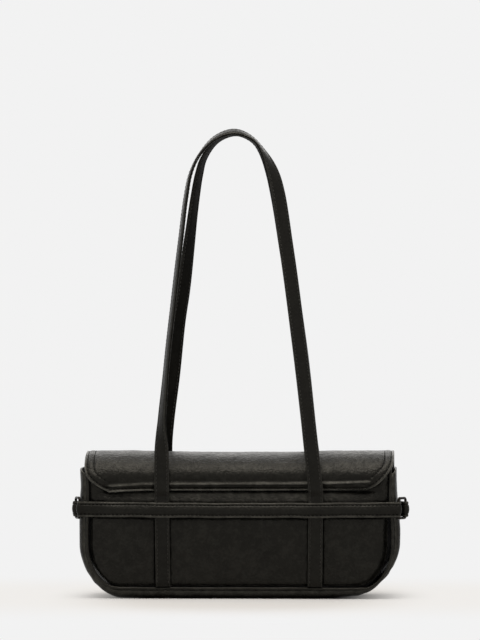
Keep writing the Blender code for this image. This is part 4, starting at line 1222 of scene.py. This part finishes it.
def flap_pieces(leather, cloth):
    table = arch_table(FLAP_OUTER - FLAP_LEATHER / 2)
    arc, _, z, ridge = table
    low = float(np.interp(YOKE_EDGE, z[: ridge + 1], arc[: ridge + 1]))

    def above_edge(x, t):
        """Distance up from the yoke's lower edge, which slopes a little."""
        slope = np.interp(x, [-0.123, -0.09, 0.08, 0.12], [-0.0020, -0.0002, 0.0005, 0.0016])
        return t - low - slope

    def behind(x, t):
        return smooth((-t - 0.03) / 0.01) * smooth((0.1260 - np.abs(x)) / 0.005)

    def shoulder(x, t, width):
        """The crease where the yoke bends over to the ridge."""
        return bell(t, YOKE_CREASE, width) * (0.6 + 0.4 * noise_along(x, 0.014, 69))

    def relief(x, t, d):
        up = above_edge(x, t)
        at_back = behind(x, t)
        under = 1 - 0.45 * (1 - smooth((np.abs(np.abs(x) - STRAP_X - 0.001) - 0.0065) / 0.002))
        lower_bead = 0.00065 * bell(up, 0.0011, 0.0008)
        plateau = 0.00200 - 0.20 * np.clip(up - 0.0024, 0, 0.0045)
        plateau = plateau * (1 - smooth((up - 0.0071) / 0.0009))
        upper_bead = 0.00065 * bell(up, 0.0070, 0.0007)
        tuck = -0.00105 * bell(up, 0.0095, 0.0014)
        uneven = 1 + 0.25 * noise_along(x, 0.011, 66)
        beads = (lower_bead + plateau * smooth(up / 0.001) + upper_bead * uneven) * under
        beads = (beads + tuck * uneven) * at_back
        near_edge = 0.00075 * bell(d, 0.0011, 0.0009) * (1 - at_back)
        rows = -0.00052 * bell(d, STITCH_ROW, 0.0006)
        sides = (1 - at_back) * smooth((0.05 - t) / 0.004)
        second = -0.00052 * bell(d, SECOND_ROW, 0.0006) * sides
        swell = 0.00022 * bell(d, 0.0058, 0.0022) * sides
        streak = noise(x, t, 0.0026, 0.0075, 63) + 0.8 * noise(x, t, 0.0034, 0.0034, 64)
        pull = np.abs(noise(x, t, 0.0031, 0.018, 65)) * bell(up, 0.0105, 0.007) * at_back
        crumple = -0.00008 * streak - 0.00020 * pull + 0.00016 * shoulder(x, t, 0.0010)
        calm = 1 - at_back * (1 - smooth((up - 0.0090) / 0.0020))
        return beads + near_edge + rows + second + swell + crumple * smooth(d / 0.004) * calm

    # Painted highlights on the two beads of the yoke's lower band and along the flap's edges, a
    # painted sheen in blotches and along the shoulder crease, and mottled tone.
    def wear_and_highlight(x, t, d):
        up = above_edge(x, t)
        at_back = behind(x, t)
        beads = 0.85 * bell(up, 0.0077, 0.0006) + 1.0 * bell(up, 0.0014, 0.0007)
        rub_and_sheen = beads * at_back + 0.35 * bell(d, 0.0013, 0.0009) * (1 - at_back)
        painted_sheen_blotch = smooth(1.4 * noise(x, t, 0.016, 0.007, 67))
        painted_sheen_blotch = painted_sheen_blotch * smooth(0.8 + noise(x, t, 0.0024, 0.0024, 68))
        mottle = 0.03 * smooth(0.5 + noise(x, t, 0.0019, 0.0021, 70))
        mottle = mottle + 0.03 * smooth(0.4 + noise(x, t, 0.0042, 0.0030, 72))
        worn_and_lit = 0.13 * painted_sheen_blotch + 0.07 * shoulder(x, t, 0.0011) + mottle
        return rub_and_sheen + worn_and_lit * smooth((up - 0.013) / 0.006) * (t < 0)

    def past_yoke(x, t):
        return (t < 0.05) & ((np.abs(x) > 0.1235) | (t > -0.03))

    sheet = Sheet(arch_outline(table, 0.0), on_arch(table), FLAP_LEATHER, relief, wear_and_highlight)
    across = np.linspace(-0.124, 0.124, 63)
    start = across * 0 + low
    offsets = (
        0.0004, 0.0008, 0.0012, 0.0016, 0.0021, 0.0054, 0.0058, 0.0062, 0.0066, 0.0070, 0.0074,
        0.0078, 0.0082, 0.0087, 0.0093,
    )
    lines = [np.stack([across, start + up - above_edge(across, start)], 1) for up in offsets]
    rows = (
        0.0010, 0.0016, 0.0021, 0.0025, 0.0028, 0.0031, 0.0034, 0.0038, 0.0084, 0.0087, 0.0090,
        0.0093, 0.0097,
    )
    obj = sheet.build("yoke_and_flap_leather", 0.0013, leather, rows, lines)
    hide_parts("back_yoke", "flap")

    inner_table = arch_table(FLAP_LINING_OUTER - FLAP_LINING / 2)
    inner_sheet = Sheet(arch_outline(inner_table, 0.0008), on_arch(inner_table), FLAP_LINING)
    inner = inner_sheet.build("yoke_and_flap_lining", 0.0026, cloth)
    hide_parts("back_yoke_lining", "flap_lining")
    return [obj, inner], sheet.row(STITCH_ROW) + sheet.row(SECOND_ROW, past_yoke)


# Belts, with a fold round the bar of the ring at each end


def back_droop(x, y=None):
    """How far the back belt hangs below its ends. It is the same at every depth."""
    return -0.0010 * (1 - (x / RING_NEAR_X) ** 2)


def front_droop(x, y):
    return -0.0008 * np.where(y > 0.03, 1 - (x / RING_NEAR_X) ** 2, 0)


def belt_span(half_length, count):
    """Places along a belt, closer together where it rises over the straps."""
    over_strap = np.linspace(0.044, 0.102, 60)
    even = np.linspace(-half_length, half_length, count)
    return np.unique(np.concatenate([even, over_strap, -over_strap]))


def belt_depth(x):
    past = (np.abs(np.abs(x) - STRAP_X) - STRAP_HALF_WIDTH - 0.0003) / BELT_LIFT_RUN
    return BELT_LINE + (BELT_OVER_STRAP - BELT_LINE) * (1 - smooth(past))


def offset(line, distance):
    """A line in x and y moved to its right-hand side, which is the belt's outer side."""
    along = unit(np.gradient(line, axis=0))
    return line + np.stack([along[:, 1], -along[:, 0]], 1) * distance


def fold(centre, radius, first, last, steps=22):
    turns = np.radians(np.linspace(first, last, steps))
    return np.stack([centre[0] + radius * np.cos(turns), centre[1] + radius * np.sin(turns)], 1)


def belt_pieces(name, main, start_loop, end_loop, look, droop, node):
    """The outer layer with its two folds, and the backing that fills in between their ends."""
    half = BELT_LAYER / 2
    outer_line, inner_line = offset(main, half), offset(main, -half)
    arc = arc_length(main)
    end = arc[-1]
    tail = inner_line[(arc > BELT_END) & (arc < BELT_TURNED_BACK)][::-1]
    head = inner_line[(arc > end - BELT_TURNED_BACK) & (arc < end - BELT_END)][::-1]
    body = outer_line[(arc > BELT_END) & (arc < end - BELT_END)]
    route = spline(np.vstack([tail, start_loop, body, end_loop, head]), 0.0012)
    keep = np.concatenate([[True], np.linalg.norm(np.diff(route, axis=0), axis=1) > 1e-5])
    route = route[keep]
    section, edge = strip_section(
        BELT_HALF_HEIGHT, -half, half, BELT_STITCH_ROW, 0.00085, pillow=0.00080, dip=0.00038
    )
    # The belt's edges are painted paler: partly rubbed wear, mostly a painted highlight along its
    # top edge.
    edge = 0.8 * edge

    def strip(piece, line, cut, mask):
        x, y = line.T
        along = unit(np.gradient(line, axis=0))
        face = np.column_stack([along[:, 1], -along[:, 0], np.zeros(len(line))])
        off_strap = smooth((np.abs(np.abs(x) - STRAP_X) - 0.006) / 0.010)
        straight = smooth((RING_NEAR_X - 0.012 - np.abs(x)) / 0.02)
        tilt = 0.21 * straight * (0.65 + 0.35 * off_strap)
        tilt = (tilt + 0.060 * noise(x, y, 0.030, 0.030, 81) * off_strap)[:, None]
        upright = np.array([0.0, 0.0, 1.0])
        up = unit(upright - face * tilt)
        face = unit(face + upright * tilt)
        waver = 0.00022 * noise(x, y, 0.024, 0.024, 82)
        centres = np.column_stack([line, BELT_CENTRE + droop(x, y) + waver])
        obj = band(piece, centres, up, face, cut, mask, look)
        return obj, centres, up, face

    obj, centres, up, face = strip(f"{name}_leather", route, section, edge)
    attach(obj, "bag_body")
    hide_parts(node)
    free = BELT_TURNED_BACK + 0.0006
    filling = inner_line[(arc > free) & (arc < end - BELT_TURNED_BACK - 0.0006)]
    plain, plain_edge = strip_section(BELT_HALF_HEIGHT - 0.0001, -half, half, 0.0048, 0.0003, 0.0)
    backing = strip(f"{name}_backing", divide(filling, 0.003, closed=False), plain, plain_edge)[0]
    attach(backing, "bag_body")
    arc = arc_length(centres)
    shown = slice(int(np.argmax(arc > 0.020)), int(np.argmax(arc > arc[-1] - 0.020)))
    rows = []
    for height in (-BELT_STITCH_ROW, BELT_STITCH_ROW):
        line = centres + up * height + face * (half - STITCH_SINK)
        rows.append((line[shown], face[shown]))
    return rows


def back_belt(look):
    x = belt_span(RING_NEAR_X, 200)
    main = np.stack([x, -belt_depth(x)], 1)
    radius = RING_WIRE + 0.0008
    left = fold((-RING_NEAR_X, -BELT_LINE), radius, 62, 298)
    right = fold((RING_NEAR_X, -BELT_LINE), radius, -118, 118)
    return belt_pieces("back_belt", main, left, right, look, back_droop, "back_belt")


def front_belt(look):
    side_y = np.linspace(RING_FAR_Y, GUSSET_FLAT_HALF_WIDTH, 60)
    settle = smooth((side_y - RING_FAR_Y) / 0.012)
    turn = np.linspace(0, math.pi / 2, 34)[1:]
    corner_x = SEAM_HALF_LENGTH - 0.0015
    power = 2 / 3
    bend_x = corner_x + (BELT_SIDE_X - corner_x) * np.cos(turn) ** power
    bend_y = GUSSET_FLAT_HALF_WIDTH + (BELT_LINE - GUSSET_FLAT_HALF_WIDTH) * np.sin(turn) ** power
    x = belt_span(corner_x, 170)[-2:0:-1]
    ends = {}
    for side, far_x in RING_FAR_X.items():
        side_x = BELT_SIDE_X + (far_x - BELT_SIDE_X) * (1 - settle)
        sides, bends = np.stack([side_x, side_y], 1), np.stack([bend_x, bend_y], 1)
        ends[side] = np.vstack([sides, bends]) * [side, 1]
    main = np.vstack([ends[1], np.stack([x, belt_depth(x)], 1), ends[-1][::-1]])
    main = spline(main[::2], 0.0013)
    radius = RING_WIRE + 0.0012
    start = fold((RING_FAR_X[1], RING_FAR_Y), radius, 152, 388)
    finish = fold((-RING_FAR_X[-1], RING_FAR_Y), radius, 152, 388)
    return belt_pieces("front_belt", main, start, finish, look, front_droop, "front_belt")


def ring_piece(name, side, look):
    near = np.array([side * RING_NEAR_X, -BELT_LINE])
    far = np.array([side * RING_FAR_X[side], RING_FAR_Y])
    width = np.linalg.norm(far - near)
    half = BELT_HALF_HEIGHT + 0.0009 + RING_WIRE
    ends = (width / 2, -half, 0)
    turns = [(a, b, RING_CORNER) for a, b in ((width, -half), (width, half), (0, half), (0, -half))]
    loop = divide(rounded([ends, *turns, ends], 10)[:-1], 0.0014)
    place = near + (far - near) * (loop[:, 0:1] / width)
    line = np.column_stack([place, BELT_CENTRE + RING_LIFT + loop[:, 1]])
    across = np.append((far - near) / width, 0.0)
    normal = np.cross(across, [0, 0, 1])
    obj = tube(f"{name}_wire", line, RING_WIRE, look, 18, closed=True, up=normal)
    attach(obj, name)
    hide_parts(name)


# Handles, each one strap from seam to seam


def handle_depth(z):
    out = smooth((z - STRAP_STEP_START) / STRAP_STEP_RUN)
    depth = ANCHOR_LINE + (STRAP_LINE - ANCHOR_LINE) * out
    run = PIVOT_HEIGHT + HANDLE_RISE - SHOULDER_HEIGHT - HANDLE_LEAN_BEND / 2
    slope = (STRAP_LINE - HANDLE_APEX_DEPTH) / run
    past = np.clip(z - SHOULDER_HEIGHT, 0, None)
    bent = slope * past**2 / (2 * HANDLE_LEAN_BEND)
    straight = slope * (past - HANDLE_LEAN_BEND / 2)
    return depth - np.where(past < HANDLE_LEAN_BEND, bent, straight)


def handle_frames(side, route, turns, drift):
    """Centre, width and face directions of a strap from the left seam to the right one."""
    knots = [(STRAP_X * x, PIVOT_HEIGHT + HANDLE_RISE * share) for x, share in route]
    fine = spline(knots, 0.0008)
    keep = [k for k, p in enumerate(fine) if p[1] < 0.135 or k % 3 == 0 or k == len(fine) - 1]
    flat = fine[keep]
    low = SEAM_HEIGHT + 0.0003
    up = np.linspace(low, PIVOT_HEIGHT, 60)[:-1]
    lean = (1 - (up - low) / (PIVOT_HEIGHT - low)) ** 1.2
    left = np.stack([-STRAP_X + drift[0] * lean, up], 1)
    right = np.stack([STRAP_X + drift[1] * lean, up], 1)[::-1]
    line = np.vstack([left, flat, right])
    x, z = line[:, 0], line[:, 1]
    depth = handle_depth(z) - 0.0012 * (1 - smooth((z - low) / 0.004))
    centres = np.stack([x, side * depth, z], 1)
    along = unit(np.gradient(centres, axis=0))
    share = (z - PIVOT_HEIGHT) / HANDLE_RISE
    top = int(np.argmax(z))
    rising = np.interp(share, *np.array(turns[0], float).T)
    falling = np.interp(share, *np.array(turns[1], float).T)
    turn = np.where(np.arange(len(z)) <= top, rising, falling)
    arc = arc_length(centres)
    even = np.linspace(0, arc[-1], 1200)
    near = np.arange(-30, 31) * even[1]
    weights = np.exp(-((near / TURN_BLUR) ** 2))
    padded = np.pad(np.interp(even, arc, turn), 30, mode="edge")
    turn = np.interp(arc, even, np.convolve(padded, weights / weights.sum(), "valid"))
    turn = np.radians(turn)[:, None]
    inward = unit(np.stack([along[:, 2], np.zeros(len(line)), -along[:, 0]], 1))
    outward = np.cross(inward, along) * -side
    width = inward * np.cos(turn) + outward * np.sin(turn)
    return centres, width, np.cross(width, along) * -side


def handle_pieces(name, side, route, turns, drift, outer_look, backing_look, nodes):
    centres, width, face = handle_frames(side, route, turns, drift)
    arc = arc_length(centres)
    curl = 0.00025 * noise_along(arc, 0.055, 71 + side)
    centres = centres + face * (curl * smooth((centres[:, 2] - 0.15) / 0.05))[:, None]
    made = []
    for piece, way, low, look, slot in (
        ("strap", face, 0.00005, outer_look, "leather_trim"),
        ("backing", -face, 0.0, backing_look, "leather"),
    ):
        cut, edge = strip_section(STRAP_HALF_WIDTH, low, STRAP_HALF, STRAP_STITCH_ROW, 0.0010)
        edge = STRAP_WEAR_AND_HIGHLIGHT * edge
        made.append(band(f"{name}_{piece}_leather", centres, width, way, cut, edge, look))
    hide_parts(*nodes)
    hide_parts(f"{name}_backing")
    rows = []
    free = centres[:, 2] > 0.150
    lift = face * (STRAP_HALF - STITCH_SINK)
    for reach in (-STRAP_STITCH_ROW, STRAP_STITCH_ROW):
        line = centres + width * reach
        rows += [(line + lift, face), ((line - lift)[free], -face[free])]
    return made, rows


# Magnetic snap


def turned(name, profile, y_of, look, body, node):
    """A round piece turned about the snap's axis. The profile is (radius, distance outwards)."""
    turns = np.linspace(0, 2 * math.pi, 48, endpoint=False)
    mm = 0.001
    rings = [
        [(r * mm * math.cos(a), y_of + out * mm, SNAP_HEIGHT + r * mm * math.sin(a)) for a in turns]
        for r, out in profile
    ]
    obj = loft(name, rings, look)
    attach(obj, body)
    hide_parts(node)


def snap_pieces(look):
    turned("snap_socket_cup", SOCKET, PANEL_FACE, look, "bag_body", "snap_socket")
    turned("snap_socket_back", PLATE, 0.0394, look, "bag_body", "snap_socket_washer")
    turned("snap_stud_cap", STUD, 0.0423, look, "flap", "snap_stud")
    turned("snap_stud_back", PLATE, 0.0435, look, "flap", "snap_stud_plate")


# Everything together

make_camera()
make_studio()
# In each leather look the third colour is the paler one painted where the edge attribute says:
# partly rubbed wear, mostly painted highlight.
LEATHER = leather_look(
    "black_leather", (0.0016, 0.0015, 0.0012), (0.0044, 0.0042, 0.0034), (0.085, 0.083, 0.073),
    rough=0.36, grain=1.0, specular=0.155,
)
TRIM = leather_look(
    "black_leather_trim", (0.0014, 0.0013, 0.0010), (0.0038, 0.0036, 0.0029), (0.060, 0.058, 0.051),
    rough=0.38, grain=0.55, specular=0.155,
)
BACKING = leather_look(
    "black_leather_backing", (0.0012, 0.0011, 0.0009), (0.0034, 0.0032, 0.0026),
    (0.050, 0.048, 0.042), rough=0.56, grain=0.45, specular=0.075,
)
LINING = cloth_look()
THREAD = thread_look("black_thread", (0.002, 0.002, 0.0016), (0.009, 0.0085, 0.007), 0.05)
# Painted highlight: the same black thread, painted lighter on the straps, where its stitches catch
# the light.
LIT_STRAP_THREAD = thread_look("strap_thread_painted_lighter", (0.012, 0.0115, 0.010), (0.040, 0.038, 0.033), 0.20)
GUNMETAL = metal_look("gunmetal", (0.006, 0.0048, 0.004), (0.017, 0.0138, 0.0115), 0.28)
NICKEL = metal_look("nickel", (0.42, 0.42, 0.40), (0.62, 0.62, 0.60), 0.26)
BOARD = board_look()
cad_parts["base_board"].data.materials.clear()
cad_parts["base_board"].data.materials.append(BOARD)
board_piece("back_stiffener", -1, BOARD)
board_piece("front_stiffener", 1, BOARD)

body_rows = gusset_piece(LEATHER)
body_rows += panel_piece("back_panel", -1, LEATHER)
body_rows += panel_piece("front_panel", 1, LEATHER)
piping_piece("back_piping", -1, TRIM)
piping_piece("front_piping", 1, TRIM)
lining_piece(LINING)
body_rows += pocket_piece(LINING)
body_rows += back_belt(TRIM)
body_rows += front_belt(TRIM)
body_thread = stitches("body_stitching", body_rows, THREAD)
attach(body_thread, "bag_body")

flap_soft, flap_rows = flap_pieces(LEATHER, LINING)
flap_thread = stitches("yoke_and_flap_stitching", flap_rows, THREAD)
for piece in flap_soft + [flap_thread]:
    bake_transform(piece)

ring_piece("left_ring", -1, GUNMETAL)
ring_piece("right_ring", 1, GUNMETAL)
snap_pieces(NICKEL)

for side, name, route, turns, drift in (
    (-1, "back_handle", BACK_ROUTE, BACK_TURNS, (0.0012, -0.0008)),
    (1, "front_handle", FRONT_ROUTE, FRONT_TURNS, (0.0, 0.0)),
):
    face_name = name.split("_")[0]
    nodes = [f"{name}_strap", f"{face_name}_left_strap_anchor", f"{face_name}_right_strap_anchor"]
    pieces, rows = handle_pieces(name, side, route, turns, drift, TRIM, BACKING, nodes)
    pieces.append(stitches(f"{name}_stitching", rows, LIT_STRAP_THREAD))
    for piece in pieces:
        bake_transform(piece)

bpy.context.scene.view_settings.view_transform = "Standard"
